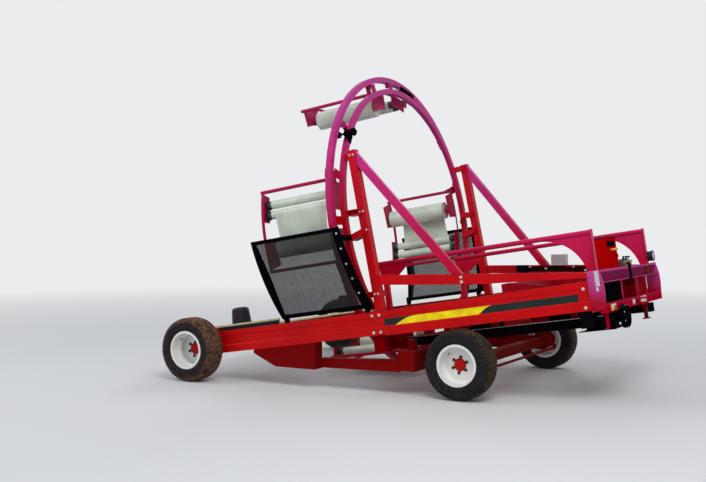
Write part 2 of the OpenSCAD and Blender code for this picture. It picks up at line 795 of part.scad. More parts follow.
module guard_outline(u_top, wide, hi, lo, widen = 0) {
    // Outline from the side, between two levels
    along_y(guard_r - 412, 500) polygon([[guard_u(u_top, hi), hi], [guard_u(u_top, hi) + wide, hi],
        [guard_u(u_top, lo) + wide + widen, lo], [guard_u(u_top, lo), lo]]);
}

module guard_part(u_top, wide, thick, hi, lo, widen = 0) {
    // Sheet rolled round the hoop's axis, its ends leaning forward towards the bottom
    intersection() {
        rotate([guard_bottom, 0, 0]) translate([u_top - 10, 0, 0]) rotate([90, 0, 90])
            rotate_extrude(angle = guard_top - guard_bottom, $fn = 180)
                translate([guard_r, 0]) square([thick, wide + guard_skew + widen + 20]);
        guard_outline(u_top, wide, hi, lo, widen);
    }
}

guard_edge = 38;
guard_rear = -carrier_len - 60;
guard_rear_w = 60;
mesh_u = guard_rear + guard_rear_w;
mesh_w = 30 - mesh_u;
mesh_rows = 5;
mesh_bar = 8;

module side_guards() {
    color("#18181c") in_chassis() both_sides() {
        difference() {
            guard_part(guard_rear, guard_rear_w + mesh_w + guard_plate_w, guard_plate_t,
                guard_hi + 25, guard_lo - 23, 34);
            guard_outline(mesh_u, mesh_w, guard_hi - guard_edge, guard_lo + guard_edge);
        }
        // Brackets to the fixed ring's tie and to the rail's top
        intersection() {
            union() {
                block([ring_face + 1, tie_y(ties[2][0]), ties[2][0] - 24],
                    [ring_face + 25, guard_r + 48, ties[2][0] + 30]);
                for (u = [132, guard_rear + 105])
                    block([u, rail_y - 46, top_w], [u + 50, guard_r, top_w + 95]);
            }
            translate([mesh_u, 0, 0]) rotate([0, 90, 0])
                cylinder(r = guard_r, h = 300 - mesh_u, $fn = 180);
        }
    }
}

module guard_mesh() {
    // Coarse grid in place of the woven wire
    top = guard_hi - guard_edge;
    cell_w = (top - guard_lo - guard_edge) / mesh_rows;
    cell_u = mesh_w / mesh_columns;
    color("#3a3a3e") in_chassis() both_sides() difference() {
        guard_part(mesh_u, mesh_w, 2, top, guard_lo + guard_edge);
        for (i = [0:mesh_columns - 1], j = [0:mesh_rows - 1])
            guard_outline(mesh_u + i * cell_u + mesh_bar / 2, cell_u - mesh_bar,
                top - j * cell_w - mesh_bar / 2, top - (j + 1) * cell_w + mesh_bar / 2);
    }
}

// Film carriers

function carrier_mid(i) = 1 + i * 360 / carriers;
ring_back = -turn_ring_w / 2;
carrier_plate_t = 12;

module at_hoop(a, r) {
    // Child's +Y points outward at angle a from the near side over the top
    rotate([-a, 0, 0]) mirror([0, 1, 0]) translate([0, r, 0]) children();
}

module sector(a0, span, r0, r1, wide) {
    // Flat plate about the hoop's axis, from angle a0 on
    hoop_turn(a0) rotate([90, 0, 90]) rotate_extrude(angle = span, $fn = 240)
        translate([r0, 0]) square([r1 - r0, wide]);
}

module film_carriers() {
    color("mediumvioletred") in_chassis() for (i = [0:carriers - 1]) {
        mid = carrier_mid(i);
        for (s = [-1, 1]) at_hoop(mid + s * carrier_half, carrier_r) {
            translate([ring_back - carrier_len - carrier_tube_r, 0, 0]) rotate([0, 90, 0])
                cylinder(r = carrier_tube_r, h = carrier_len + carrier_tube_r - 6);
            translate([ring_back - carrier_plate_t, -40, -45])
                cube([carrier_plate_t, turn_ring_r - carrier_r + 35, 90]);
            // Gusset from the tube to the plate
            along_y(-5, 10) polygon([[ring_back - 4, 0], [ring_back - 4, s * 42],
                [ring_back - 20, s * 42], [ring_back - 130, s * 10], [ring_back - 130, 0]]);
        }
        // Curved rear bar, and the flat bar behind the ring
        translate([ring_back - carrier_len, 0, 0]) hoop_turn(mid - carrier_half) rotate([90, 0, 90])
            rotate_extrude(angle = 2 * carrier_half, $fn = 240)
                translate([carrier_r, 0]) circle(r = carrier_tube_r - 3);
        translate([ring_back - carrier_plate_t + 2, 0, 0])
            sector(mid - carrier_half, 2 * carrier_half, carrier_r - 14, carrier_r + 12, carrier_plate_t - 4);
        // Plates that hold the film roll's spindle and the stretch rollers at both ends
        for (p = holders) {
            translate([ring_back - carrier_plate_t - 1, 0, 0])
                sector(mid + p[0], p[1], p[2], carrier_r + 8, carrier_plate_t);
            translate([ring_back - carrier_len - 6, 0, 0])
                sector(mid + p[0], p[1], p[2], carrier_r, carrier_plate_t);
        }
        at_hoop(mid + film_angle, film_path_r)
            translate([ring_back - carrier_len, 0, 0]) rotate([0, 90, 0])
                cylinder(r = film_pin_r, h = carrier_len - 6);
    }
}

// Stretch rollers: angle of the first from the carrier's middle, and the step to the second
stretch_at = 7;
stretch_path_r = carrier_r - 82;
stretch_step = 2 * asin((stretch_r + 11.2) / stretch_path_r);

// Holder plates of a carrier: [start angle from the middle, angle spanned, inner radius]
holders = [[-15.8, 12, film_path_r - 34], [4, 11.8, stretch_path_r - 36]];

function gear_outline(teeth, tip, root) = [for (i = [0:teeth - 1], c = [[0, 0], [0.16, 1], [0.5, 1], [0.66, 0]])
    let (a = (i + c[0]) * 360 / teeth, r = c[1] == 1 ? tip : root) [r * cos(a), r * sin(a)]];

module stretch_rollers() {
    back = ring_back - carrier_len - 6 + carrier_plate_t;
    reach = ring_back - carrier_plate_t - 1 - back;
    color("#3c3c42") in_chassis() for (i = [0:carriers - 1], k = [0, 1])
        at_hoop(carrier_mid(i) + stretch_at + k * stretch_step, stretch_path_r) {
            translate([back + 34, 0, 0]) rotate([0, 90, 0]) cylinder(r = stretch_r, h = reach - 54);
            translate([back, 0, 0]) rotate([0, 90, 0]) cylinder(r = 14, h = reach);
            along_x(back + 6, 18) polygon(gear_outline(gear_teeth, stretch_r + 10.8, stretch_r + 4));
        }
}

module film_roll(i) {
    color("honeydew") in_chassis() at_hoop(carrier_mid(i) + film_angle, film_path_r)
        translate([ring_back - 70 - film_len, 0, 0]) rotate([0, 90, 0]) difference() {
            cylinder(r = film_r, h = film_len, $fn = 64);
            translate([0, 0, -1]) cylinder(r = film_pin_r + spindle_fit, h = film_len + 2);
        }
}

// Pusher

pusher_u = rail_front - 978;
blade_y = track_y[0] - 40;

module pusher() {
    lift = 8;
    color("mediumvioletred") in_chassis() {
        block([pusher_u, -blade_y, table_w + lift], [pusher_u + 60, blade_y, table_w + 105]);
        both_sides() {
            along_y(blade_y - 12, 12) polygon([[pusher_u, table_w + lift], [pusher_u, table_w + 105],
                [pusher_u + 90, table_w + 110], [pusher_u + 470, table_w + 40],
                [pusher_u + 470, table_w + lift]]);
            block([pusher_u, blade_y, table_w + lift], [pusher_u + 300, track_y[1] - 58, table_w + 20]);
            // Web down to the shoe that slides on the track
            block([pusher_u + 20, track_y[1] - 70, track_w[1] + seat],
                [pusher_u + 280, track_y[1] - 58, table_w + lift]);
            block([pusher_u + 20, track_y[0] + 15, track_w[1] + seat],
                [pusher_u + 280, track_y[1] - 15, track_w[1] + 14]);
        }
    }
}

// Wheels

module tyre_profile() {
    h = tyre_w / 2;
    wall = tyre_r - rim_r;
    // One half from the bead round the shoulder to the crown, then its inside
    outside = [[rim_r, h - 46], [rim_r, h - 26], [flange_r + 2, h - 26], [flange_r + 5, h - 12],
        [rim_r + wall * 0.5, h], [rim_r + wall * 0.82, h - 8], [tyre_r - 6, h - 32], [tyre_r, h - 60]];
    inside = [[rim_r + wall * 0.25, h - 30], [rim_r + wall * 0.6, h - 16], [tyre_r - 28, h - 42]];
    turn = len(outside) - 1;
    last = len(inside) - 1;
    polygon(concat(outside,
        [for (i = [0:turn]) [outside[turn - i][0], -outside[turn - i][1]]],
        [for (p = inside) [p[0], -p[1]]],
        [for (i = [0:last]) inside[last - i]]));
}

// Children are drawn with +Y outward and the wheel's middle at the origin
module at_wheel(x, track, side) {
    on_ground() translate([x, side * track, tyre_r]) scale([1, side, 1]) children();
}

module tyre() {
    h = tyre_w / 2;
    color("#26242a") difference() {
        rotate([90, 0, 0]) rotate_extrude($fn = 48) tyre_profile();
        // Grooves across both shoulders, set half a pitch apart
        for (k = [0:tyre_grooves - 1], s = [0, 1])
            rotate([0, (k + s / 2) * 360 / tyre_grooves, 0])
                translate([tyre_r - 10, s == 0 ? h - 56 : -h - 2, -8]) cube([20, 58, 16]);
    }
}

module wheel(disc_y, disc_r) {
    h = tyre_w / 2;
    color("white") rotate([-90, 0, 0]) {
        // Rim, with its well in the middle
        rotate_extrude($fn = 96) polygon([[rim_r, -h + 26], [flange_r, -h + 26], [flange_r, -h + 12],
            [rim_r - 8, -h + 12], [rim_r - 8, -28], [rim_r - 30, -16], [rim_r - 30, 16], [rim_r - 8, 28],
            [rim_r - 8, h - 12], [flange_r, h - 12], [flange_r, h - 26], [rim_r, h - 26],
            [rim_r, 34], [rim_r - 22, 20], [rim_r - 22, -20], [rim_r, -34]]);
        // Dished disc
        rotate_extrude($fn = 96) polygon([[hub_r, disc_y], [hub_r + 46, disc_y],
            [disc_r - 16, disc_y - 16], [disc_r, disc_y - 16], [disc_r, disc_y - 5],
            [disc_r - 13, disc_y - 5], [hub_r + 44, disc_y + 10], [hub_r, disc_y + 10]]);
    }
}

module hub(disc_y, back) {
    bore = spindle_r + spindle_fit;
    color("red") rotate([-90, 0, 0]) rotate_extrude($fn = 96)
        polygon([[bore, back], [hub_r - 6, back], [hub_r, back + 6], [hub_r, disc_y - 14],
            [hub_r + 32, disc_y - 14], [hub_r + 32, disc_y], [hub_r, disc_y], [hub_r, disc_y + 10],
            [hub_cap_r, disc_y + 10], [hub_cap_r, disc_y + 20], [hub_cap_r - 6, disc_y + 24],
            [0, disc_y + 24], [0, stub_end(disc_y) + 2], [bore, stub_end(disc_y) + 2]]);
}

arm_len = 150;
arm_z = 60;

module knuckle(side) {
    kx = kingpin_y;
    color("firebrick") on_ground() scale([1, side, 1]) {
        difference() {
            translate([0, kx, tyre_r - 61]) cylinder(r = 34, h = 122);
            translate([0, kx, tyre_r - 70]) cylinder(r = 18.05, h = 140);
        }
        translate([0, front_track_y + stub_end(front_disc), tyre_r]) rotate([90, 0, 0])
            cylinder(r = spindle_r, h = kingpin_inset + stub_end(front_disc) - 26);
        difference() {
            block([26, kx - 18, tyre_r - 50], [arm_len + 20, kx + 18, tyre_r - 34]);
            translate([arm_len, kx, tyre_r - 60]) cylinder(r = 8.05, h = 40);
        }
    }
}

module tie_rod() {
    kx = kingpin_y;
    color("firebrick") on_ground() {
        rod([arm_len, -kx, tyre_r - 72], [arm_len, kx, tyre_r - 72], 15);
        for (s = [-1, 1]) translate([arm_len, s * kx, tyre_r - 80]) {
            cylinder(r = 22, h = 24);
            cylinder(r = 8, h = 50);
        }
    }
}

rear_rails();
front_rails();
splice_plates();
rear_table();
slide_strips();
side_bumpers();
rear_stub_brackets();
drop_plates();
lower_beams();
front_axle();
hoop_posts();
diagonal_braces();
mid_beams();
guide_arms();
end_plates();
front_channel();
front_beam();
front_table();
push_tracks();
outriggers();
control_cabinet();
oil_tank();
engine();
engine_tray();
valve_block();
junction_box();
work_lamp();
hitch_lugs();
jack_sleeve();
fixed_ring();
ring_brackets();
ring_rollers();
hoop_drive();
side_guards();
guard_mesh();
turning_ring();
film_carriers();
stretch_rollers();
film_roll(0);  // film_roll_1
film_roll(1);  // film_roll_2
film_roll(2);  // film_roll_3
film_roll(3);  // film_roll_4
pusher();
jack_leg();
knuckle(near);  // knuckle_near
knuckle(far);  // knuckle_far
tie_rod();
at_wheel(0, front_track_y, near) tyre();  // tyre_front_near
at_wheel(0, front_track_y, far) tyre();  // tyre_front_far
at_wheel(rear_axle_x, rear_track_y, near) tyre();  // tyre_rear_near
at_wheel(rear_axle_x, rear_track_y, far) tyre();  // tyre_rear_far
at_wheel(0, front_track_y, near) wheel(front_disc, rim_r - 26);  // wheel_front_near
at_wheel(0, front_track_y, far) wheel(front_disc, rim_r - 26);  // wheel_front_far
at_wheel(rear_axle_x, rear_track_y, near) wheel(rear_disc, rim_r - 3);  // wheel_rear_near
at_wheel(rear_axle_x, rear_track_y, far) wheel(rear_disc, rim_r - 3);  // wheel_rear_far
at_wheel(0, front_track_y, near) hub(front_disc, -60);  // hub_front_near
at_wheel(0, front_track_y, far) hub(front_disc, -60);  // hub_front_far
at_wheel(rear_axle_x, rear_track_y, near) hub(rear_disc, -122);  // hub_rear_near
at_wheel(rear_axle_x, rear_track_y, far) hub(rear_disc, -122);  // hub_rear_far
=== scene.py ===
import json
import math

import bmesh
import bpy
from mathutils import Matrix, Vector


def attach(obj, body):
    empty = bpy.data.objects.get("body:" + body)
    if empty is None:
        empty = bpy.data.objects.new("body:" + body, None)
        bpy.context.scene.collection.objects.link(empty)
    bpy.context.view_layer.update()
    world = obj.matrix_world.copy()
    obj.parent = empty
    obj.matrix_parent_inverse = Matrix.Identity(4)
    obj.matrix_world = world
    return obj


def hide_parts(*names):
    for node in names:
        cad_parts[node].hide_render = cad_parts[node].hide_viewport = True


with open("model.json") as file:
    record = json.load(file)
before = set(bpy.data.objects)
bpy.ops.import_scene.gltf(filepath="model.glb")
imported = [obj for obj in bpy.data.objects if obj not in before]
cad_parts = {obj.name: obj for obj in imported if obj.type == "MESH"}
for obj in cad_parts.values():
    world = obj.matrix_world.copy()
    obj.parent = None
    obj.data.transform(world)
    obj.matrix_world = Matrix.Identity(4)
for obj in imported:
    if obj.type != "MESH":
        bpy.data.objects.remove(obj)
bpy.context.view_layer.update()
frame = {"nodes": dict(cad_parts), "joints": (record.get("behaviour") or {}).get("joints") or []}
joints = {j["name"]: j for j in frame["joints"]}

# The view: the camera stands low on the near side, ahead of the machine, as the photograph
# was taken, and looks back at it slightly downward through a normal lens.

camera = bpy.data.objects.new("camera", bpy.data.cameras.new("camera"))
bpy.context.scene.collection.objects.link(camera)
camera.location = (4.971, -10.176, 1.70)
camera.rotation_euler = (math.radians(89.083), 0, math.radians(30))
camera.data.sensor_width = 36
camera.data.sensor_fit = "HORIZONTAL"
camera.data.lens = 50.99
bpy.context.scene.camera = camera

# The side rails: pressed sheet-steel channels with one long step in the web, in two lengths
# each side, bolted end to end at a doubler plate and sprayed with gloss red enamel.

tilt_axis = Vector(joints["hoop_turn"]["axis"])
hoop_centre = Vector(joints["hoop_turn"]["pos_m"])
chassis = Matrix.Translation(hoop_centre) @ Matrix(
    (
        (tilt_axis.x, 0, -tilt_axis.z, 0),
        (0, 1, 0, 0),
        (tilt_axis.z, 0, tilt_axis.x, 0),
        (0, 0, 0, 1),
    )
)


def on_chassis(u, y, w):
    """A point of the tilted frame, given in millimetres from the hoop's centre."""
    return chassis @ (Vector((u, y, w)) / 1000)


def facing(u, y, w):
    """A direction of the tilted frame."""
    return (chassis.to_3x3() @ Vector((u, y, w))).normalized()


def linear(rgb):
    """Linear colour from 0-255 values."""
    out = []
    for v in rgb:
        v = v / 255
        out.append(v / 12.92 if v <= 0.04045 else ((v + 0.055) / 1.055) ** 2.4)
    return (*out, 1)


class Finish:
    """A surface finish made of nodes, laid out in the coordinates of the piece."""

    def __init__(self, name, roughness=0.5, shine=0.5, coat=0, metal=0):
        self.material = bpy.data.materials.new(name)
        self.material.use_nodes = True
        self.nodes = self.material.node_tree.nodes
        self.link = self.material.node_tree.links.new
        self.surface = self.nodes["Principled BSDF"].inputs
        self.where = self.nodes.new("ShaderNodeTexCoord").outputs
        self.surface["Roughness"].default_value = roughness
        self.surface["Specular IOR Level"].default_value = shine
        self.surface["Coat Weight"].default_value = coat
        self.surface["Metallic"].default_value = metal

    def noise(self, scale, detail):
        """Cloudy grain at a scale."""
        grain = self.nodes.new("ShaderNodeTexNoise")
        grain.inputs["Scale"].default_value = scale
        grain.inputs["Detail"].default_value = detail
        self.link(self.where["Object"], grain.inputs["Vector"])
        return grain.outputs["Fac"]

    def along(self, letter, kind="Object"):
        """Where a point lies on one axis, or which way its surface faces there."""
        split = self.nodes.new("ShaderNodeSeparateXYZ")
        self.link(self.where[kind], split.inputs[0])
        return split.outputs[letter]

    def remap(self, value, from_min, from_max, to_min=0, to_max=1):
        """A value carried from one range to another, clamped."""
        step = self.nodes.new("ShaderNodeMapRange")
        limits = {"From Min": from_min, "From Max": from_max, "To Min": to_min, "To Max": to_max}
        for socket, limit in limits.items():
            step.inputs[socket].default_value = limit
        self.link(value, step.inputs["Value"])
        return step.outputs["Result"]

    def blend(self, factor, first, second, kind="MIX"):
        """Two colours mixed by a factor; each is a colour or another node's output."""
        mix = self.nodes.new("ShaderNodeMix")
        mix.data_type = "RGBA"
        mix.blend_type = kind
        for socket, value in (("Factor", factor), ("A", first), ("B", second)):
            if isinstance(value, bpy.types.NodeSocket):
                self.link(value, mix.inputs[socket])
            else:
                mix.inputs[socket].default_value = value
        return mix.outputs["Result"]

    def times(self, first, second):
        """Product of two values."""
        product = self.nodes.new("ShaderNodeMath")
        product.operation = "MULTIPLY"
        self.link(first, product.inputs[0])
        self.link(second, product.inputs[1])
        return product.outputs[0]

    def colour(self, factor, first, second):
        """Colours the surface with a mix of two colours given as 0-255 values."""
        self.link(self.blend(factor, linear(first), linear(second)), self.surface["Base Color"])

    def bump(self, height, strength, distance):
        """Small relief on the surface."""
        relief = self.nodes.new("ShaderNodeBump")
        relief.inputs["Strength"].default_value = strength
        relief.inputs["Distance"].default_value = distance
        self.link(height, relief.inputs["Height"])
        self.link(relief.outputs["Normal"], self.surface["Normal"])


bare_primer = (64, 40, 40)
dust_and_sky_sheen = (170, 140, 130)
splashed_soil = (92, 66, 50)


def enamel(name, colour, sky_sheen_colour=None, rise=(0.9, 3.0), dust=0.2, dust_top=0.8, roughness=0.32,
           shine=0.12):
    """Gloss paint, faded in patches and chipped, with a painted sky reflection that turns its tint
    towards a second colour with height, dusty low down.
    """
    paint = Finish(name, shine=shine)
    fine = paint.noise(38, 8)
    specks = paint.noise(130, 3)
    height = paint.along("Z")
    # Painted sky reflection: the colour turns towards the second colour as the height passes
    # through rise.
    tint = paint.blend(paint.remap(height, *rise), linear(colour), linear(sky_sheen_colour or colour))
    faded = paint.remap(paint.noise(2.6, 6), 0.3, 0.7, 0.86, 1.08)
    coat = paint.blend(1.0, tint, faded, "MULTIPLY")
    chips = paint.times(paint.remap(specks, 0.70, 0.74), paint.remap(fine, 0.54, 0.62))
    coat = paint.blend(chips, coat, linear(bare_primer))
    # Dust on upward faces, lighter there, which also serves as painted sky light on them.
    level = paint.remap(paint.along("Z", "Normal"), 0.6, 1.0, 0, 0.12)
    coat = paint.blend(paint.times(level, fine), coat, linear(dust_and_sky_sheen))
    low = paint.remap(height, dust_top, 0.1, 0, dust)
    coat = paint.blend(paint.times(low, fine), coat, linear(splashed_soil))
    paint.link(coat, paint.surface["Base Color"])
    paint.link(paint.remap(fine, 0.35, 0.7, roughness, roughness + 0.2), paint.surface["Roughness"])
    paint.bump(specks, 0.05, 0.002)
    return paint.material


def smooth(obj):
    """Smooth shading over curved faces, with every real edge kept sharp."""
    obj.data.shade_smooth()
    edges = obj.modifiers.new("edges", "EDGE_SPLIT")
    edges.split_angle = math.radians(32)


def dress(material, *names):
    """Gives a node of the frame its finish, and softens the shading of its curved faces."""
    for name in names:
        obj = frame["nodes"][name]
        for slot in obj.material_slots:
            slot.material = material
        if not obj.material_slots:
            obj.data.materials.append(material)
        smooth(obj)


def fit(make, material, body, name=None, values=(), at=None):
    """Makes a piece, named as the function that makes it unless a name is given, and mounts it."""
    bm = bmesh.new()
    make(bm, *values)
    bmesh.ops.recalc_face_normals(bm, faces=bm.faces)
    name = name or make.__name__
    mesh = bpy.data.meshes.new(name)
    bm.to_mesh(mesh)
    bm.free()
    obj = bpy.data.objects.new(name, mesh)
    bpy.context.scene.collection.objects.link(obj)
    if at is not None:
        obj.location = at
    mesh.materials.append(material)
    smooth(obj)
    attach(obj, body)
    return obj


def plated_steel(name, colour, roughness=0.34, metal=0.85):
    """Zinc-plated or bare steel with fine wear."""
    steel = Finish(name, metal=metal)
    wear = steel.noise(90, 7)
    steel.colour(steel.remap(wear, 0.3, 0.65), [c * 0.62 for c in colour], colour)
    steel.link(steel.remap(wear, 0, 1, roughness, roughness + 0.3), steel.surface["Roughness"])
    return steel.material


def stand(at, out):
    """Placement with Z along out, at a point."""
    return Matrix.Translation(Vector(at)) @ Vector(out).to_track_quat("Z", "Y").to_matrix().to_4x4()


def seat(u, y, w, out=(0, 0, 1)):
    """Placement at a point of the tilted frame, facing up from it unless told otherwise."""
    return stand(on_chassis(u, y, w), facing(*out))


def ring(bm, place, radius, height, sides):
    """Corners of one circle about a placement's Z."""
    turns = [2 * math.pi * k / sides for k in range(sides)]
    spots = [Vector((radius * math.cos(t), radius * math.sin(t), height)) for t in turns]
    return [bm.verts.new(place @ spot) for spot in spots]


def lathe(bm, place, profile, segments=24):
    """Closed solid of revolution about a placement's Z, from (radius, height) points."""
    rings = []
    for radius, height in profile:
        if radius == 0:
            rings.append([bm.verts.new(place @ Vector((0, 0, height)))])
        else:
            rings.append(ring(bm, place, radius, height, segments))
    pairs = list(zip(rings, rings[1:]))
    if len(rings[0]) > 1:
        pairs.append((rings[-1], rings[0]))
    for low, high in pairs:
        for k in range(segments):
            n = (k + 1) % segments
            if len(low) == 1:
                bm.faces.new((low[0], high[k], high[n]))
            elif len(high) == 1:
                bm.faces.new((low[k], low[n], high[0]))
            else:
                bm.faces.new((low[k], low[n], high[n], high[k]))


def bolt_head(bm, at, out, across=0.017, high=0.007):
    """Hexagon head with its chamfer, on a washer, at a point, facing along out."""
    place = stand(at, out)
    r = across * 0.577
    top = high + 0.0015
    lathe(bm, place, [(0, 0), (r * 1.36, 0), (r * 1.36, 0.002), (0, 0.002)], 20)
    lathe(bm, place, [(0, 0.0015), (r, 0.0015), (r, high), (r * 0.86, top), (0, top)], 6)


both_sides = (-1, 1)
rail_out = 1450
rail_web_in = 14
splice_u = 330
rear_end_u = -1835
channel_u = 2318
front_out = 1080
taper = (rail_out - front_out) / (channel_u - splice_u)


def rail_side(u, inset=0):
    """How far from the middle the rail's outer face lies, in millimetres."""
    return rail_out - max(0, u - splice_u) * taper - inset


# Columns: along the rail, level, how deep the face lies
rail_bolt_spots = [
    (202, -992, 8), (283, -992, 8), (202, -1161, 0), (283, -1161, 0),
    (rear_end_u + 45, -982, 8), (rear_end_u + 45, -1165, 0),
    (2266, -993, 8), (2266, -1168, 0),
]


def rail_bolts(bm):
    for u, w, inset in rail_bolt_spots:
        lean = taper if u > splice_u else 0
        for side in both_sides:
            at = on_chassis(u, side * rail_side(u, inset), w)
            bolt_head(bm, at, facing(lean, side, 0), across=0.02)


dress(enamel("rail_red", (196, 3, 10), dust=0.1), "rear_rails", "front_rails", "splice_plates",
      "rear_stub_brackets")
bolt_zinc = plated_steel("bolt_zinc", (232, 230, 226), metal=0.6)
fit(rail_bolts, bolt_zinc, "chassis")

# The label band: printed vinyl stuck in the recess of each front rail, a dark band that ends
# in a yellow swoosh towards the rear.


def printed_vinyl(name, colour):
    """Printed vinyl, satin, with a little dust."""
    vinyl = Finish(name, 0.42, shine=0.2)
    haze = vinyl.remap(vinyl.noise(14, 8), 0.35, 0.7)
    vinyl.colour(haze, [c * 0.86 for c in colour], [min(255, c * 1.02 + 2) for c in colour])
    return vinyl.material


def skin(bm, rings):
    """Closed solid through rings that have as many corners each."""
    for low, high in zip(rings, rings[1:]):
        for k in range(len(low)):
            n = (k + 1) % len(low)
            bm.faces.new((low[k], low[n], high[n], high[k]))
    bm.faces.new(rings[0][::-1])
    bm.faces.new(rings[-1])


vinyl_t = 0.5


def on_both_rails(bm, outline, lift):
    # Thin sheet on both rails, from its outline along and up the rail
    for side in both_sides:
        sheet = []
        for off in (lift, lift - vinyl_t):
            spots = [(u, side * (rail_side(u, rail_web_in) + off), w) for u, w in outline]
            sheet.append([bm.verts.new(on_chassis(*spot)) for spot in spots])
        skin(bm, sheet)


band_low = -1110
band_high = -1035
band_outline = [(331, band_high), (2214, band_high), (2208, band_low), (331, band_low)]
fit(on_both_rails, printed_vinyl("band_dark", (26, 40, 36)), "chassis", "label_band",
    (band_outline, 0.9))
# Columns: along the rail, level; the swoosh rises from the lower edge and returns to it
swoosh_outline = [
    (432, band_low), (456, -1099), (482, -1085), (530, -1061), (565, -1048), (610, -1039),
    (660, band_high), (1399, band_high), (1374, -1041), (1347, -1054), (1322, -1070),
    (1299, -1088), (1278, -1101), (1258, band_low),
]
fit(on_both_rails, printed_vinyl("band_yellow", (255, 226, 8)), "chassis",
    "label_swoosh", (swoosh_outline, 1.6))

# The tail table: a welded grid of flat bars between two side members, with two struts down to
# the round roller tube at the tail. Cream slide plastic is riveted on top.


def moulded(name, colour, roughness=0.55, speck=0.04, scale=60, shine=0.25):
    """Moulded plastic or rubber: a fine grain in tone and surface."""
    plastic = Finish(name, roughness, shine)
    grain = plastic.noise(scale, 9)
    plastic.colour(plastic.remap(grain, 0.3, 0.7), [c * (1 - speck * 2) for c in colour],
                   [min(255, c * (1 + speck)) for c in colour])
    plastic.bump(grain, 0.2, 0.003)
    return plastic.material


strip_top_w = -945
strip_rows = (260, 620, 959)
rivet_run = range(-1980, -1040, 155)


def strip_rivets(bm):
    for u in rivet_run:
        for y in strip_rows:
            for side in both_sides:
                place = seat(u, side * y, strip_top_w)
                lathe(bm, place, [(0, 0), (0.009, 0), (0.008, 0.0018), (0, 0.0026)], 16)


def plate(bm, low, high, bevel=2.0, place=on_chassis):
    """Plate or block between two corners of the tilted frame, in millimetres, its edges eased."""
    made = bmesh.ops.create_cube(bm, size=1)["verts"]
    for v in made:
        v.co = place(*[(low[i] + high[i]) / 2 + v.co[i] * (high[i] - low[i]) for i in range(3)])
    edges = list({e for v in made for e in v.link_edges})
    bmesh.ops.bevel(bm, geom=edges, offset=bevel / 1000, segments=2, affect="EDGES", profile=0.7)


slide_shade_y = 1296


def slide_shade_strip(bm):
    # Black strip under the slide strip, along the outside of each side strip: painted shade under
    # its edge
    for side in both_sides:
        plate(bm, (-1928, side * slide_shade_y - 2, -953), (-1022, side * slide_shade_y + 2, -912), 1)


# Painted shade: the lower frame's red is darker than the rails' red, for its place in their shadow.
shaded_frame_red = enamel("shaded_frame_red", (122, 1, 6), dust=0.14, dust_top=0.6, roughness=0.45, shine=0.02)
dress(shaded_frame_red, "rear_table", "drop_plates", "lower_beams", "front_axle", "front_table",
      "jack_sleeve", "knuckle_near", "knuckle_far", "tie_rod")
dress(moulded("slide_cream", (222, 216, 168), 0.5), "slide_strips")
black_rubber = moulded("black_rubber", (30, 26, 36), 0.5, 0.1, 25)
dress(black_rubber, "side_bumpers")
fit(strip_rivets, bolt_zinc, "chassis")
fit(slide_shade_strip, black_rubber, "chassis")

# The upper frame: square posts lean back a little to carry the hoop, with a brace from each
# head down to the mid beam, which runs to the front end plate. All square tube, welded.

# The second colour of each of these finishes is a painted sky reflection, reached with height.
post_red = enamel("post_red", (196, 2, 8), (196, 8, 44))
brace_red = enamel("brace_red", (194, 1, 38), (196, 46, 126), rise=(1.2, 2.3))
beam_red_sky_sheen = enamel("beam_red_sky_sheen", (176, 4, 36), (194, 74, 138), rise=(0.93, 1.25), shine=0)
plate_red_sky_sheen = enamel("plate_red_sky_sheen", (172, 6, 40), (192, 70, 150), rise=(0.98, 1.2))
dress(post_red, "hoop_posts", "mid_beams", "ring_brackets")
dress(brace_red, "diagonal_braces", "guide_arms")
dress(beam_red_sky_sheen, "front_channel", "front_beam", "hitch_lugs")
dress(plate_red_sky_sheen, "end_plates")
post_y = 1404
post_half = 42
post_foot = Vector((296, -945))
post_head = Vector((212, 690))
post_foot_top = -943
end_plate_y = 1088


def post_point(w):
    """Middle of a post at a level."""
    t = (w - post_foot.y) / (post_head.y - post_foot.y)
    return post_foot.x + (post_head.x - post_foot.x) * t


def frame_bolts(bm):
    for side in both_sides:
        for y in (1384, 1424):
            bolt_head(bm, on_chassis(198, side * y, post_foot_top), facing(0, 0, 1), across=0.02)
        # Through the post and each tie
        for w in (640, 60, -130, -780):
            for step in (-20, 20):
                at = on_chassis(post_point(w) + step, side * (post_y + post_half), w)
                bolt_head(bm, at, (0, side, 0), across=0.015)
        # Mid beam at the foot of the diagonal brace
        for w in (-729, -775):
            bolt_head(bm, on_chassis(1150, side * 1288, w), facing(0.16, side, 0), across=0.02)


def plate_bolts(bm):
    # Painted over: end plate to the channel
    for side in both_sides:
        for u, w in ((2338, -883), (2332, -950), (2444, -900), (2444, -950), (2340, -1185)):
            bolt_head(bm, on_chassis(u, side * end_plate_y, w), (0, side, 0))


def weld_bead(bm, start, end, radius=0.0045, pitch=0.007):
    """Row of weld ripples along a seam."""
    run = end - start
    count = max(2, int(run.length / pitch))
    profile = [(0, -radius * 0.5)]
    for k in range(count):
        z = run.length * (k + 0.5) / count
        profile += [(radius * 0.86, z - pitch * 0.35), (radius, z)]
    profile.append((0, run.length + radius * 0.5))
    lathe(bm, stand(start, run), profile, 8)


def frame_welds(bm):
    for side in both_sides:
        # Columns: start and end of a seam, each along, out from the middle, level
        seams = [((channel_u - 1, 1040, -838), (channel_u - 1, 1078, -838))]
        for y in (post_y - post_half, post_y + post_half):
            seams.append(((post_foot.x - post_half, y, post_foot_top),
                          (post_foot.x + post_half, y, post_foot_top)))
        for u in (150, 188):
            seams.append(((u, 946, -953), (u, 994, -953)))
        for ends in seams:
            weld_bead(bm, *[on_chassis(u, side * y, w) for u, y, w in ends])


fit(frame_bolts, bolt_zinc, "chassis")
fit(plate_bolts, beam_red_sky_sheen, "chassis")
fit(frame_welds, post_red, "chassis")

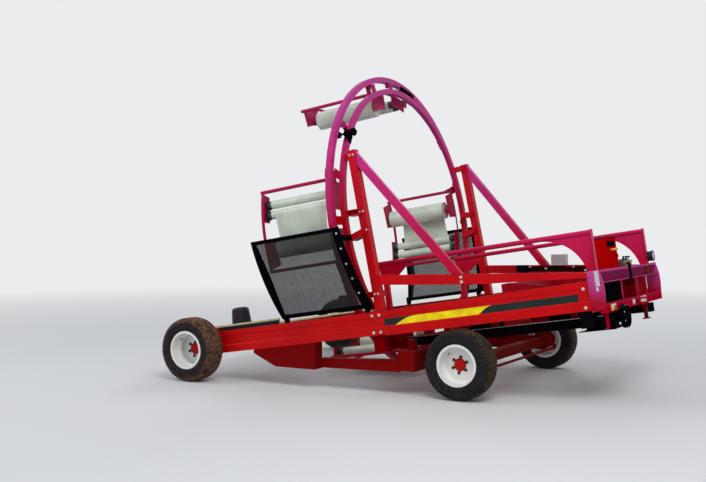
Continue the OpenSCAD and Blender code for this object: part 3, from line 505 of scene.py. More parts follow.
# The control cabinet: a folded steel box painted as the rails, with a sheet door in a recess
# under a black strip. It stands on the channel and has a yellow plastic grip.

cabinet_red = enamel("cabinet_red", (186, 2, 6), dust=0, shine=0)
dress(cabinet_red, "control_cabinet")
panel_black = moulded("panel_black", (20, 18, 22), 0.45, shine=0)
door_u = channel_u + 46
door_y = (-486, -184)
door_w = (-802, -570)
strip_below = -622


def cabinet_door(bm):
    plate(bm, (door_u - 1, door_y[0], door_w[0]), (door_u + 7, door_y[1], strip_below - 3))
    # Hinges down the near edge
    profile = [(0, 0), (0.005, 0), (0.006, 0.001), (0.006, 0.035), (0.005, 0.036), (0, 0.036)]
    for w in (-770, -665):
        lathe(bm, seat(door_u + 9, door_y[0] + 6, w - 18), profile, 14)


def filter_cap(bm):
    profile = [(0, 0), (0.030, 0), (0.030, 0.03), (0.034, 0.032), (0.034, 0.05), (0.030, 0.056),
               (0, 0.058)]
    lathe(bm, seat(channel_u + 20, -151, -718, (0, 1, 0)), profile, 28)


def cabinet_strip(bm):
    plate(bm, (door_u - 1, door_y[0], strip_below), (door_u + 5, door_y[1], door_w[1]))
    # Rubber drip edge round the top
    plate(bm, (channel_u - 71, -523, -540), (channel_u + 61, -147, -532))


def bent_rod(bm, points, radius, sides=10):
    """Round rod through points of the tilted frame, one ring at each."""
    spots = [on_chassis(*p) for p in points]
    rings = []
    for i, spot in enumerate(spots):
        run = spots[min(i + 1, len(spots) - 1)] - spots[max(i - 1, 0)]
        corners = ring(bm, stand(spot, run), radius, 0, sides)
        if rings:
            start = rings[-1][0].co
            near = min(range(sides), key=lambda k: (corners[k].co - start).length)
            corners = corners[near:] + corners[:near]
        rings.append(corners)
    skin(bm, rings)


def rounded_route(points, radius, steps=6):
    """Route through corner points with each corner turned on a curve."""
    out = [points[0]]
    for a, b, c in zip(points, points[1:], points[2:]):
        a, b, c = Vector(a), Vector(b), Vector(c)
        start = b + (a - b).normalized() * radius
        end = b + (c - b).normalized() * radius
        for k in range(steps + 1):
            t = k / steps
            out.append(tuple(start * (1 - t) ** 2 + b * 2 * t * (1 - t) + end * t * t))
    out.append(points[-1])
    return out


def cabinet_grip(bm):
    foot_u = door_u + 6
    out_u = foot_u + 30
    route = [(foot_u, -350, -655), (out_u, -350, -655), (out_u, -214, -650), (foot_u, -214, -650)]
    bent_rod(bm, rounded_route(route, 16), 0.011, 14)


fit(cabinet_door, cabinet_red, "chassis")
fit(filter_cap, cabinet_red, "chassis")
fit(cabinet_strip, panel_black, "chassis")
fit(cabinet_grip, moulded("grip_yellow", (240, 170, 20), 0.4), "chassis")

# The oil tanks, the jack and the engine: steel boxes bolted between channel and beam, with
# the black engine hung on its tray below and a black sheet in front of it as painted shade.

satin_black = enamel("satin_black", (10, 8, 13), dust=0.1, roughness=0.5, shine=0)
dress(enamel("dark_red", (104, 1, 6), dust=0.1), "jack_leg")
dress(satin_black, "engine", "engine_tray")


def parted_enamel(name, roughness, letter, edge, first, second, grain, darkest):
    """Dull paint of two colours on one piece, which meet at a place along an axis."""
    paint = Finish(name, roughness, shine=0)
    tint = paint.blend(paint.remap(paint.along(letter), *edge), linear(first), linear(second))
    patches = paint.remap(paint.noise(*grain), 0.3, 0.7, darkest, 1.1)
    paint.link(paint.blend(1.0, tint, patches, "MULTIPLY"), paint.surface["Base Color"])
    return paint.material


# The tank is two boxes, the far one faded lighter
tank_red = parted_enamel("tank_red", 0.4, "Y", (0.250, 0.252), (104, 1, 4), (150, 20, 30),
                         grain=(9, 6), darkest=0.84)
dress(tank_red, "oil_tank")
shade_sheet_u = 2403
flange_u = 2510
engine_axis = (-610, -1302)
flange_bolt_r = 106
flange_bolts = 8


def shade_sheet(bm):
    # Black sheet over the opening above the beam on the near side, with a folded top edge: painted
    # shade for the dark space behind it
    plate(bm, (shade_sheet_u - 4, -1076, -1154), (shade_sheet_u, -304, -966), 1)
    plate(bm, (shade_sheet_u - 19, -1076, -970), (shade_sheet_u, -304, -966), 1)


def engine_bolts(bm):
    for k in range(flange_bolts):
        turn = 2 * math.pi * (k + 0.5) / flange_bolts
        across = engine_axis[0] + flange_bolt_r * math.cos(turn)
        level = engine_axis[1] + flange_bolt_r * math.sin(turn)
        at = on_chassis(flange_u, across, level)
        bolt_head(bm, at, facing(1, 0, 0), across=0.010, high=0.004)
    # Tray to its hangers
    for y in (-840, -380):
        for u in (2140, 2360):
            bolt_head(bm, on_chassis(u, y, -1398), facing(0, 0, 1))


fit(shade_sheet, satin_black, "chassis")
fit(engine_bolts, bolt_zinc, "chassis")

# The valve bank: five cast spool bodies side by side on a base, each with a short lever and
# two fittings. Steel pipes bend down from the fittings to the tank.

valve_steel = plated_steel("valve_steel", (120, 116, 112), 0.42)
fitting_zinc = plated_steel("fitting_zinc", (214, 196, 150), 0.3)
valve_u = channel_u + 12
valve_w = -836
spool_y = [-112 + i * 54 for i in range(5)]
spool_middle = 23
# Columns: level of a port on its spool, how far it is set to the side
spool_ports = ((34, -12.6), (52, 12.6))
pipe_front = valve_u + 128
tank_face_u = 2394


def valve_bodies(bm):
    plate(bm, (valve_u, -120, valve_w), (valve_u + 96, 160, valve_w + 22))
    for y in spool_y:
        plate(bm, (valve_u + 10, y, valve_w + 20), (valve_u + 86, y + 46, valve_w + 66), 5)
        place = seat(valve_u + 22, y + spool_middle, valve_w + 64)
        lathe(bm, place, [(0, 0), (0.014, 0), (0.014, 0.008), (0.011, 0.014), (0, 0.014)], 18)


def valve_levers(bm):
    for i, y in enumerate(spool_y):
        lean = 0.45 if i % 2 else 0.7
        place = seat(valve_u + 60, y + spool_middle, valve_w + 62, (lean, 0, 1))
        profile = [(0, 0), (0.012, 0), (0.012, 0.01), (0.005, 0.014), (0.004, 0.03), (0.009, 0.032),
                   (0.010, 0.038), (0.008, 0.046), (0, 0.048)]
        lathe(bm, place, profile, 18)


def valve_fittings(bm):
    for y in spool_y:
        for level, off in spool_ports:
            place = seat(valve_u + 84, y + spool_middle + off, valve_w + level, (1, 0, 0))
            lathe(bm, place, [(0, 0), (0.010, 0), (0.010, 0.012), (0, 0.012)], 6)
            lathe(bm, place, [(0, 0.011), (0.0075, 0.011), (0.0075, 0.024), (0, 0.026)], 16)


def valve_pipes(bm):
    level, off = spool_ports[0]
    high = valve_w + level
    for i, y in enumerate(spool_y[:2]):
        across = y + spool_middle + off
        low = -992 - i * 26
        route = [(valve_u + 100, across, high), (pipe_front, across, high),
                 (pipe_front, across, low), (tank_face_u, across, low)]
        bent_rod(bm, rounded_route(route, 20), 0.0075)


bank = fit(valve_bodies, valve_steel, "chassis")
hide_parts("valve_block")
fit(valve_levers, panel_black, "chassis")
fit(valve_fittings, fitting_zinc, "chassis")
fit(valve_pipes, panel_black, "chassis")

# The junction box and the lines on the far mid beam: a grey plastic box on the beam's top, and
# a black distributor with three steel pipes clipped along the beam's inner face.

dress(moulded("box_grey", (196, 190, 190)), "junction_box")
mid_beam_yaw = math.atan2(post_y - front_out, channel_u - post_foot.x)
mid_beam_top = -594
mid_beam_fall = 0.1216
pipe_lifts = (-22, -42, -62)
pipe_y = -34
pipe_start = 610
pipe_end = 2058
clip_spots = (700, 960, 1220, 1480, 1740)
# Columns: along the beam, which pipe
union_spots = ((632, 0), (842, 1), (1202, 0), (1340, 2), (1890, 1))


def on_mid_beam(x, y, lift):
    """A point by the far mid beam: along it, out from its middle, and above its sloped top."""
    u = post_foot.x + x * math.cos(mid_beam_yaw) + y * math.sin(mid_beam_yaw)
    v = post_y - x * math.sin(mid_beam_yaw) + y * math.cos(mid_beam_yaw)
    return on_chassis(u, v, mid_beam_top - mid_beam_fall * x + lift)


def line_block(bm):
    plate(bm, (478, -78, -84), (618, -19, 2), 5, on_mid_beam)
    plate(bm, (500, -92, -66), (590, -77, -18), 4, on_mid_beam)


def beam_pipes(bm):
    for lift in pipe_lifts:
        start = on_mid_beam(pipe_start, pipe_y, lift)
        run = on_mid_beam(pipe_end, pipe_y, lift) - start
        profile = [(0, 0), (0.008, 0), (0.008, run.length), (0, run.length)]
        lathe(bm, stand(start, run), profile, 12)


def pipe_clips(bm):
    for x in clip_spots:
        plate(bm, (x, -45, -74), (x + 22, -19, -10), 2, on_mid_beam)


def pipe_unions(bm):
    for x, pipe in union_spots:
        at = on_mid_beam(x, pipe_y, pipe_lifts[pipe])
        place = stand(at, on_mid_beam(x + 50, pipe_y, pipe_lifts[pipe]) - at)
        lathe(bm, place, [(0, 0), (0.0125, 0), (0.0125, 0.028), (0, 0.028)], 6)


def lid_screws(bm):
    for x in (930, 1070):
        for y in (-52, 42):
            place = stand(on_mid_beam(x, y, 122), facing(mid_beam_fall, 0, 1))
            lathe(bm, place, [(0, 0), (0.006, 0), (0.006, 0.003), (0, 0.004)], 12)


for make in (line_block, beam_pipes, pipe_clips):
    fit(make, panel_black, "chassis")
for make in (pipe_unions, lid_screws):
    fit(make, bolt_zinc, "chassis")

# The work lamp: a black plastic bowl on the arm, with a clear lens held by a rubber ring.


def lens_glass(name, colour):
    """Moulded lens or reflector: smooth and glossy over fine prisms."""
    glass = Finish(name, 0.12, coat=0.8)
    prisms = glass.nodes.new("ShaderNodeTexVoronoi")
    prisms.inputs["Scale"].default_value = 160
    glass.link(glass.where["Object"], prisms.inputs["Vector"])
    depth = prisms.outputs["Distance"]
    glass.colour(glass.remap(depth, 0, 0.7), colour, [c * 0.72 for c in colour])
    glass.bump(depth, 0.3, 0.001)
    return glass.material


lamp_seat = seat(2450, 990, -760, (1, 0, 0))
dress(moulded("lamp_black", (40, 30, 48), 0.35), "work_lamp")


def lamp_lens(bm):
    profile = [(0, -0.004), (0.05, -0.004), (0.05, 0.001), (0.034, 0.006), (0.016, 0.009),
               (0, 0.010)]
    lathe(bm, lamp_seat, profile, 40)


def lamp_ring(bm):
    profile = [(0.049, -0.003), (0.059, -0.003), (0.059, 0.004), (0.055, 0.007), (0.049, 0.004)]
    lathe(bm, lamp_seat, profile, 40)


fit(lamp_lens, lens_glass("lens_clear", (206, 210, 216)), "chassis")
fit(lamp_ring, panel_black, "chassis")

# The reflectors: moulded plastic plates, white and amber, riveted to the end plates and to the
# front face of the beam.

beam_face = 2459
end_plate_face = 1087


def white_reflectors(bm):
    plate(bm, (2390, -end_plate_face - 6, -984), (2432, -end_plate_face, -842))
    plate(bm, (2390, -end_plate_face - 4, -1030), (2414, -end_plate_face, -990), 1)
    plate(bm, (beam_face, -160, -1222), (beam_face + 5, -72, -1168), 1)
    plate(bm, (beam_face, 196, -1219), (beam_face + 7, 336, -1169), 1)


def amber_reflectors(bm):
    plate(bm, (beam_face, -943, -1228), (beam_face + 6, -780, -1166))
    plate(bm, (beam_face, 156, -1228), (beam_face + 4, 376, -1160))
    plate(bm, (2334, end_plate_face - 13, -950), (2362, end_plate_face - 6, -848))
    plate(bm, (2390, end_plate_face, -984), (2432, end_plate_face + 6, -842))


fit(white_reflectors, lens_glass("reflector_white", (236, 232, 236)), "chassis")
fit(amber_reflectors, lens_glass("reflector_amber", (238, 196, 20)), "chassis")

# The hoop: a fixed ring bolted to the posts carries guide rollers, and the turning ring runs
# on them with its four film carriers. Rolled box section, welded and sprayed.

# The second colour of each hoop finish is a painted sky reflection, reached with height.
dress(enamel("hoop_crimson", (184, 2, 30), (184, 46, 134), rise=(1.8, 3.0), dust=0.1), "fixed_ring")
dress(enamel("ring_crimson", (182, 6, 50), (188, 50, 138), rise=(1.4, 2.9), dust=0), "turning_ring")
dress(enamel("carrier_crimson", (164, 2, 36), (174, 24, 84), rise=(0.9, 3.0), dust=0),
      "film_carriers")
bracket_red = enamel("bracket_red", (180, 2, 16), (174, 36, 110), rise=(2.0, 2.9))
dress(bracket_red, "ring_rollers")
dress(satin_black, "hoop_drive")
dress(plated_steel("roller_alloy", (86, 88, 94), 0.4), "stretch_rollers")


def hoop_plane(angle, radius):
    """Across and up from the hoop's centre, at an angle from the near side over the top."""
    turn = math.radians(angle)
    return -radius * math.cos(turn), radius * math.sin(turn)


def on_hoop(angle, radius, u):
    """A point at an angle round the hoop, a distance ahead of its middle."""
    return on_chassis(u, *hoop_plane(angle, radius))


def carrier_middle(number):
    """Angle of a carrier's middle round the hoop, at rest."""
    return 90 * number - 89


guide_roller_angles = (0, 18, 40, 74, 90, 106, 140, 162, 180, 222, 262, 278, 318)
bracket_face = 40
carriers = (1, 2, 3, 4)
film_r = 1335
film_turn = -8
roller_path_r = 1408
roller_turns = (7, 11.494)
rear_plate_face = -936
ring_back_face = -42


def roller_bolts(bm):
    for angle in guide_roller_angles:
        bolt_head(bm, on_hoop(angle, 1574.5, bracket_face), facing(1, 0, 0), across=0.02)
        for step in (-1.1, 1.1):
            at = on_hoop(angle + step, 1530, bracket_face)
            bolt_head(bm, at, facing(1, 0, 0), across=0.012, high=0.005)


def carrier_bolts(bm):
    # Columns: angle from the carrier's middle, distance from the hoop's centre, face, size
    spots = [(film_turn, film_r, rear_plate_face, 0.03)]
    spots += [(turn, roller_path_r, rear_plate_face, 0.024) for turn in roller_turns]
    # The carrier's feet through the turning ring
    for end in (-16.5, 16.5):
        spots += [(end + step, 1630, ring_back_face, 0.022) for step in (-1, 1)]
    for number in carriers:
        for turn, radius, face, across in spots:
            at = on_hoop(carrier_middle(number) + turn, radius, face)
            bolt_head(bm, at, facing(-1, 0, 0), across)


fit(roller_bolts, bracket_red, "chassis")
fit(carrier_bolts, bolt_zinc, "hoop")

# The film rolls: stretch film wound on cardboard cores, milky white with a green cast. The
# film's tail is wound round both stretch rollers.

milky = (212, 222, 204)
film = Finish("film_white", 0.24, coat=0.4)
film.colour(film.remap(film.noise(5, 6), 0.3, 0.7), [c * 0.86 for c in milky], milky)
film.bump(film.noise(70, 3), 0.1, 0.002)
board = Finish("core_board", 0.85)
fibre = board.noise(120, 8)
board.colour(board.remap(fibre, 0.3, 0.7), (128, 98, 66), (172, 142, 104))
board.bump(fibre, 0.3, 0.002)
film_ends = (-850, -100)
core_in = 0.0175
core_out = 0.041
sleeve_in = 0.0442
sleeve_out = 0.0458
sleeve_long = 0.74


def core_rims(bm, number):
    profile = [(core_in, -0.003), (core_out, -0.003), (core_out, 0.006), (core_in, 0.006)]
    for u, way in zip(film_ends, both_sides):
        at = on_hoop(carrier_middle(number) + film_turn, film_r, u)
        lathe(bm, stand(at, facing(way, 0, 0)), profile, 32)


def roller_film(bm):
    profile = [(sleeve_in, 0), (sleeve_out, 0.002), (sleeve_out, sleeve_long - 0.002),
               (sleeve_in, sleeve_long)]
    for number in carriers:
        for turn in roller_turns:
            at = on_hoop(carrier_middle(number) + turn, roller_path_r, film_ends[0])
            lathe(bm, stand(at, facing(1, 0, 0)), profile, 40)


for number in carriers:
    dress(film.material, f"film_roll_{number}")
    fit(core_rims, board.material, f"film_{number}", f"film_core_{number}", [number])
fit(roller_film, film.material, "hoop")

# The film between each roll and its first stretch roller: one layer drawn tight, gathered in
# a little at its edges as stretch film is, and clinging to both.

roll_wrap_r = 106.2
roller_wrap_r = 47.2
roll_wrap = -26
roller_wrap = 60
web_wide_roller = 700
web_wide_roll = 620
web_waist = 46
web_middle = -475
web_thick = 1.0
web_across = 48
gather_high = 2.6


def web_path(mid):
    """Points of the film's path in the hoop's plane, with the way out from it at each."""
    roll = Vector(hoop_plane(mid + film_turn, film_r))
    roller = Vector(hoop_plane(mid + roller_turns[0], roller_path_r))
    span = roller - roll
    along = span.normalized()
    outward = Vector((-along.y, along.x))
    if outward.dot(roll) < 0:
        outward = -outward
    slope = (roll_wrap_r - roller_wrap_r) / span.length
    touch = slope * along + math.sqrt(1 - slope * slope) * outward
    swing = 1 if outward.x * along.y - outward.y * along.x > 0 else -1

    def wrap(centre, radius, angle):
        lean = Matrix.Rotation(math.radians(swing * angle), 2) @ touch
        return centre + lean * radius, lean

    start = roll + touch * roll_wrap_r
    end = roller + touch * roller_wrap_r
    path = [wrap(roll, roll_wrap_r, roll_wrap * (1 - k / 6)) for k in range(7)]
    path += [(start.lerp(end, k / 12), touch) for k in range(1, 12)]
    path += [wrap(roller, roller_wrap_r, roller_wrap * k / 6) for k in range(7)]
    return path


def film_web(bm, number):
    # One carrier's film, with its gathers running from roll to roller
    path = web_path(carrier_middle(number))
    last = len(path) - 1
    layers = []
    for lift in (0, web_thick):
        rows = []
        for n, (spot, out) in enumerate(path):
            t = n / last
            wide = web_wide_roll + (web_wide_roller - web_wide_roll) * t ** 1.5
            wide -= web_waist * math.sin(math.pi * t)
            row = []
            for k in range(web_across + 1):
                f = k / web_across
                loose = math.sin(math.pi * t) * (0.4 + 0.6 * abs(2 * f - 1))
                ripple = gather_high * loose * math.sin(f * 61 + 2.2 * math.sin(f * 17 + t * 2))
                at = spot + out * (lift + max(0, ripple + gather_high * loose))
                row.append(bm.verts.new(on_chassis(web_middle + (f - 0.5) * wide, at.x, at.y)))
            rows.append(row)
        layers.append(rows)
    inner, outer = layers
    for n in range(last):
        for k in range(web_across):
            for rows in layers:
                bm.faces.new((rows[n][k], rows[n][k + 1], rows[n + 1][k + 1], rows[n + 1][k]))
        for k in (0, web_across):
            bm.faces.new((inner[n][k], inner[n + 1][k], outer[n + 1][k], outer[n][k]))
    for n in (0, last):
        for k in range(web_across):
            bm.faces.new((inner[n][k], inner[n][k + 1], outer[n][k + 1], outer[n][k]))


for number in carriers:
    web = fit(film_web, film.material, "hoop", f"film_web_{number}", [number])

# The side guards: black plate frames rolled to the hoop's sweep, with woven wire between, held
# with zinc screws. A curved stiffener of sheet lies over the rear edge of each.

dress(satin_black, "side_guards")
guard_frame_r = 1712
guard_r = guard_frame_r + 1
guard_hi = guard_frame_r * math.sin(math.radians(-2.5))
guard_lo = -907
guard_frame = 38
guard_front_lean = 100
wire_u = -900
wire_span = 930
wire_pitch = 10.4
wire_r = 3.4
wires_along = int(wire_span / wire_pitch)
wires_down = int((guard_hi - guard_lo - 2 * guard_frame) / wire_pitch)
wire_top = guard_hi - guard_frame + 7
wire_low = guard_lo + guard_frame - 7
wire_bends = 18
stiffener_wide = 46
stiffener_steps = 24
stiffener_lift = (6.4, 8.4)


def on_guard(side, u, w, proud=0.0):
    """A point on the rolled panel, whose edges lean forward as they fall."""
    lean = guard_front_lean * (w - guard_hi) / (guard_lo - guard_hi)
    r = guard_r + proud
    return on_chassis(u + lean, side * math.sqrt(r * r - w * w), w)


def guard_out(side, w):
    """Which way is out of the panel at a level."""
    level = math.asin(w / guard_r)
    return facing(0, side * math.cos(level), math.sin(level))


def wire_tube(bm, points, outs):
    """Square-sided wire along points; outs tells which way is out of the panel at each."""
    rings = []
    for i, (at, out) in enumerate(zip(points, outs)):
        run = (points[min(i + 1, len(points) - 1)] - points[max(i - 1, 0)]).normalized()
        side = run.cross(out).normalized() * wire_r / 1000
        rise = out * wire_r / 1000
        rings.append([bm.verts.new(at + d) for d in (side, rise, -side, -rise)])
    skin(bm, rings)


def wire_level(part):
    """Level at a part of the way down the mesh."""
    return wire_top + (wire_low - wire_top) * part


def guard_wire(bm):
    for side in both_sides:
        for j in range(wires_down + 1):
            w = wire_level(j / wires_down)
            ends = [on_guard(side, u, w, wire_r * 0.7) for u in (wire_u - 6, 36)]
            wire_tube(bm, ends, [guard_out(side, w)] * 2)
        levels = [wire_level(k / wire_bends) for k in range(wire_bends + 1)]
        for i in range(wires_along + 1):
            u = wire_u + wire_span * i / wires_along
            spots = [on_guard(side, u, w, -wire_r * 0.7) for w in levels]
            wire_tube(bm, spots, [guard_out(side, w) for w in levels])


def rear_stiffeners(bm):
    # Crescent of sheet over each guard's rear edge, widest halfway down
    edge_u = wire_u - 36
    low, high = stiffener_lift
    for side in both_sides:
        rings = []
        for k in range(stiffener_steps + 1):
            t = k / stiffener_steps
            w = guard_hi - 2 + (guard_lo - guard_hi + 4) * t
            inner_u = wire_u + stiffener_wide * math.sin(math.pi * t)
            corners = ((edge_u, low), (inner_u, low), (inner_u, high), (edge_u, high))
            rings.append([bm.verts.new(on_guard(side, u, w, proud)) for u, proud in corners])
        skin(bm, rings)


def guard_screws(bm):
    for side in both_sides:
        for w in (-137, -292, -446, -597, -745):
            bolt_head(bm, on_guard(side, 72, w, 7.2), guard_out(side, w), across=0.014, high=0.005)


# The wire is dark steel, made darker and thicker than the real mesh as painted shade for the
# shadowed space behind it.
mesh_wire = plated_steel("mesh_wire", (30, 32, 30), 0.6, 0.2)
wire = fit(guard_wire, mesh_wire, "chassis")
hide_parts("guard_mesh")
fit(rear_stiffeners, satin_black, "chassis")
fit(guard_screws, bolt_zinc, "chassis")

# The pusher: a low crossbar with wedge plates that slides on the black tracks and walks the
# load back through the hoop. The tracks are channels with a bright strip along their top edge, a
# painted highlight.

dress(enamel("pusher_red", (160, 6, 30)), "pusher")
dress(satin_black, "push_tracks")
track_y = 921


def track_top_highlight(bm):
    for side in both_sides:
        # Painted highlight: a bright strip along each track's top edge.
        plate(bm, (150, side * track_y - 1, -1268), (2370, side * track_y + 1, -1264), 0.6)


fit(track_top_highlight, bolt_zinc, "chassis")

# The outriggers: welded sheet boxes that tie the tracks to the rails, and the cross tubes
# between the tracks. The front pair is sprayed black with the tracks, the rest is a red darkened as
# painted shade.

outrigger_enamel = parted_enamel("outrigger_enamel", 0.42, "X", (2.088, 2.092), (122, 1, 8),
                                 (14, 12, 16), grain=(6, 7), darkest=0.82)
dress(outrigger_enamel, "outriggers")

# The wheels: high-flotation farm tyres caked with dry soil, on white deep-dished rims with a
# red hub held by a ring of nuts.


def tyre_rubber(name, soil_from, soil_low, soil_high):
    """Black rubber walls, and dry brown soil over the tread from a distance off the axle out."""
    rubber = Finish(name, 0.78, shine=0.2)
    flat = rubber.nodes.new("ShaderNodeCombineXYZ")
    for letter in "XZ":
        rubber.link(rubber.along(letter), flat.inputs[letter])
    reach = rubber.nodes.new("ShaderNodeVectorMath")
    reach.operation = "LENGTH"
    rubber.link(flat.outputs[0], reach.inputs[0])
    crumbs = rubber.noise(26, 10)
    outer = rubber.remap(reach.outputs["Value"], soil_from, 0.336, 0.06, 1.0)
    caked = rubber.times(outer, rubber.remap(rubber.noise(7, 5), 0.25, 0.55, 0.3, 1.0))
    grey = rubber.remap(crumbs, 0.35, 0.65)
    black = rubber.blend(grey, linear((13, 11, 15)), linear((32, 28, 36)))
    soil = rubber.blend(grey, linear(soil_low), linear(soil_high))
    rubber.link(rubber.blend(caked, black, soil), rubber.surface["Base Color"])
    rubber.bump(crumbs, 0.5, 0.008)
    return rubber.material


tyre_r = 0.345
tyre_half = 0.131
rim_r = 0.190
wall = tyre_r - rim_r
crown_r = tyre_r - 0.007
shoulder = tyre_half - 0.060
# Half of the tyre's section: (radius, out from the middle)
tyre_section = [
    (rim_r, tyre_half - 0.046), (rim_r, tyre_half - 0.027),
    (rim_r + 0.018, tyre_half - 0.026), (rim_r + 0.022, tyre_half - 0.012),
    (rim_r + wall * 0.26, tyre_half - 0.0045), (rim_r + wall * 0.30, tyre_half - 0.0015),
    (rim_r + wall * 0.34, tyre_half - 0.0035), (rim_r + wall * 0.50, tyre_half),
    (rim_r + wall * 0.64, tyre_half - 0.0015), (rim_r + wall * 0.67, tyre_half),
    (rim_r + wall * 0.70, tyre_half - 0.003), (rim_r + wall * 0.82, tyre_half - 0.009),
    (crown_r - 0.006, tyre_half - 0.033), (crown_r, shoulder),
]
inner_section = [
    (tyre_r - 0.028, tyre_half - 0.042),
    (rim_r + wall * 0.60, tyre_half - 0.016),
    (rim_r + wall * 0.25, tyre_half - 0.030),
]
lugs_round = 52
lug_pitch = 2 * math.pi / lugs_round
# Rows of lugs across the tread: middle, half width, half length as a share of the pitch
lug_rows = [(0, 0.017, 0.42), (0.043, 0.020, 0.40), (0.0885, 0.020, 0.36)]
# Levels of a lug: distance from the axle, how far its corners are eased in
lug_levels = ((crown_r - 0.014, 0), (tyre_r - 0.002, 0), (tyre_r, 0.003))
shoulder_fall = 0.26


def tread_lug(bm, turn, middle, half, share):
    """One lug at a turn round the tread; past the shoulder it bends down."""
    rings = []
    for radius, ease in lug_levels:
        corners = []
        for a, y in ((-1, -1), (1, -1), (1, 1), (-1, 1)):
            across = middle + y * (half - ease)
            angle = turn + a * (share * lug_pitch - ease / tyre_r)
            r = radius - max(0, abs(across) - shoulder) * shoulder_fall
            corners.append(bm.verts.new((r * math.sin(angle), across, r * math.cos(angle))))
        rings.append(corners)
    skin(bm, rings)


def tyre_mesh(bm):
    section = tyre_section + [(r, -y) for r, y in reversed(tyre_section)]
    section += [(r, -y) for r, y in reversed(inner_section)] + inner_section
    lathe(bm, Matrix.Rotation(math.radians(90), 4, "X"), section, 112)
    for row, (middle, half, share) in enumerate(lug_rows):
        for side in both_sides if middle else (1,):
            for k in range(lugs_round):
                turn = (k + 0.5 * (row % 2) + (0.25 if side < 0 else 0)) * lug_pitch
                tread_lug(bm, turn, middle * side, half, share)


# The rear tyres run in the wet and carry soil further down their walls
soiled_rubber = {
    "front": tyre_rubber("rubber_front", 0.318, (34, 27, 20), (80, 64, 42)),
    "rear": tyre_rubber("rubber_rear", 0.285, (60, 40, 28), (130, 92, 70)),
}
rim_white = enamel("rim_white", (238, 238, 234), dust=0.04, dust_top=5, shine=0.3)
hub_red = enamel("hub_red", (184, 2, 8), dust=0.1, dust_top=5)
nut_steel = plated_steel("nut_steel", (54, 44, 44), 0.5, 0.5)
# Where the disc's outer face lies, out from the wheel's middle
disc_faces = {"front": 0.020, "rear": -0.052}
nut_circle_r = 0.078
wheel_nuts = 6


def nut_ring(bm, centre, side, disc_face):
    nut = [(0, 0), (0.0155, 0), (0.0165, 0.004), (0.0145, 0.016), (0, 0.016)]
    stud = [(0, 0.015), (0.007, 0.015), (0.007, 0.024), (0.0055, 0.026), (0, 0.026)]
    for k in range(wheel_nuts):
        turn = 2 * math.pi * (k + 0.4) / wheel_nuts
        across = nut_circle_r * math.cos(turn)
        high = nut_circle_r * math.sin(turn)
        place = stand(centre + Vector((across, side * disc_face, high)), (0, side, 0))
        lathe(bm, place, nut, 6)
        lathe(bm, place, stud, 14)


def tyre_valve(bm, centre, side):
    # Stem through the rim, leaning out
    at = centre + Vector((-0.112, side * (tyre_half - 0.1), 0.108))
    profile = [(0, 0), (0.006, 0), (0.005, 0.02), (0.0038, 0.022), (0.0038, 0.034), (0.0048, 0.035),
               (0.0048, 0.043), (0, 0.044)]
    lathe(bm, stand(at, Vector((0.2, side, -0.2)).normalized()), profile, 14)


for end in ("front", "rear"):
    for side_name, side in (("near", -1), ("far", 1)):
        which = f"{end}_{side_name}"
        body = f"wheels_{which}"
        centre = Vector(joints[f"wheel_{which}_spin"]["pos_m"])
        rubber = soiled_rubber[end]
        dress(rubber, f"tyre_{which}")
        dress(rim_white, f"wheel_{which}")
        dress(hub_red, f"hub_{which}")
        tread = fit(tyre_mesh, rubber, body, f"tread_{which}", at=centre)
        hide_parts(f"tyre_{which}")
        disc_face = disc_faces[end]
        fit(nut_ring, nut_steel, body, f"nuts_{which}", (centre, side, disc_face))
        fit(tyre_valve, panel_black, body, f"valve_{which}", (centre, side))

# The studio: a pale floor that fades into a pale backdrop, soft lamps and an even sky. It isn't
# part of the machine.

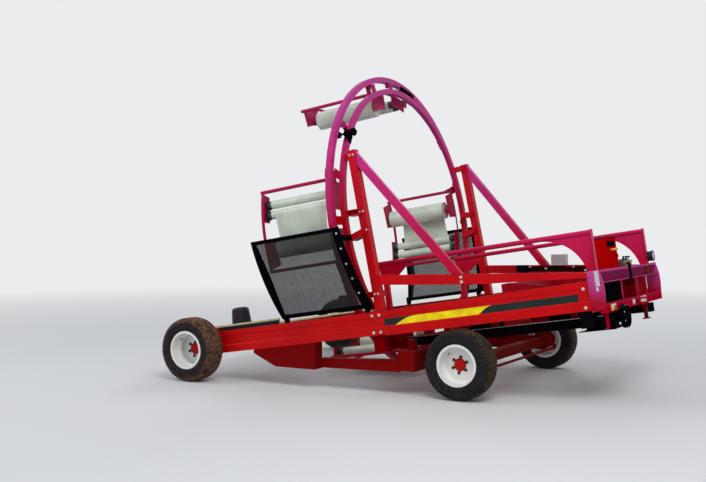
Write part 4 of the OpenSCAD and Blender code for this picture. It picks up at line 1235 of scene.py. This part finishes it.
pale = (0.83, 0.84, 0.85, 1)
paving = Finish("floor_paint", 0.9, shine=0.1)
paving.surface["Base Color"].default_value = (0.70, 0.71, 0.72, 1)
reach = paving.nodes.new("ShaderNodeVectorMath")
reach.operation = "LENGTH"
paving.link(paving.where["Object"], reach.inputs[0])
haze = paving.nodes.new("ShaderNodeEmission")
haze.inputs["Color"].default_value = pale
path = paving.nodes.new("ShaderNodeLightPath")
far_off = paving.remap(reach.outputs["Value"], 5.5, 17)
fade = paving.nodes.new("ShaderNodeMixShader")
paving.link(paving.times(far_off, path.outputs["Is Camera Ray"]), fade.inputs[0])
paving.link(paving.nodes["Principled BSDF"].outputs[0], fade.inputs[1])
paving.link(haze.outputs[0], fade.inputs[2])
paving.link(fade.outputs[0], paving.nodes["Material Output"].inputs["Surface"])
floor_mesh = bpy.data.meshes.new("floor")
floor_mesh.from_pydata([(-90, -90, 0), (90, -90, 0), (90, 90, 0), (-90, 90, 0)], [], [(0, 1, 2, 3)])
floor_mesh.materials.append(paving.material)
floor = bpy.data.objects.new("floor", floor_mesh)
bpy.context.scene.collection.objects.link(floor)

world = bpy.data.worlds.new("studio")
bpy.context.scene.world = world
world.use_nodes = True
nodes = world.node_tree.nodes
link = world.node_tree.links.new
sky = nodes["Background"]
sky.inputs["Color"].default_value = (0.92, 0.95, 1.0, 1)
sky.inputs["Strength"].default_value = 0.55
backdrop = nodes.new("ShaderNodeBackground")
backdrop.inputs["Color"].default_value = pale
path = nodes.new("ShaderNodeLightPath")
seen = path.outputs["Is Camera Ray"]
for ray in ("Is Glossy Ray", "Is Transmission Ray"):
    either = nodes.new("ShaderNodeMath")
    either.operation = "MAXIMUM"
    link(seen, either.inputs[0])
    link(path.outputs[ray], either.inputs[1])
    seen = either.outputs[0]
choose = nodes.new("ShaderNodeMixShader")
link(seen, choose.inputs[0])
link(sky.outputs[0], choose.inputs[1])
link(backdrop.outputs[0], choose.inputs[2])
link(choose.outputs[0], nodes["World Output"].inputs["Surface"])


def soft_lamp(name, at, aim, size, power):
    """Large soft panel lamp."""
    data = bpy.data.lights.new(name, "AREA")
    data.shape = "RECTANGLE"
    data.size = size
    data.size_y = size
    data.energy = power
    lamp = bpy.data.objects.new(name, data)
    bpy.context.scene.collection.objects.link(lamp)
    lamp.location = at
    lamp.rotation_euler = (Vector(aim) - Vector(at)).to_track_quat("-Z", "Y").to_euler()


soft_lamp("key", (5, -7, 9), (0, 0, 1), 5, 520)
soft_lamp("fill", (-8, -6, 6), (0, 0, 1), 6, 180)
soft_lamp("back", (-2, 9, 8), (0, 0, 1.2), 5, 220)

bpy.context.scene.view_settings.view_transform = "Standard"
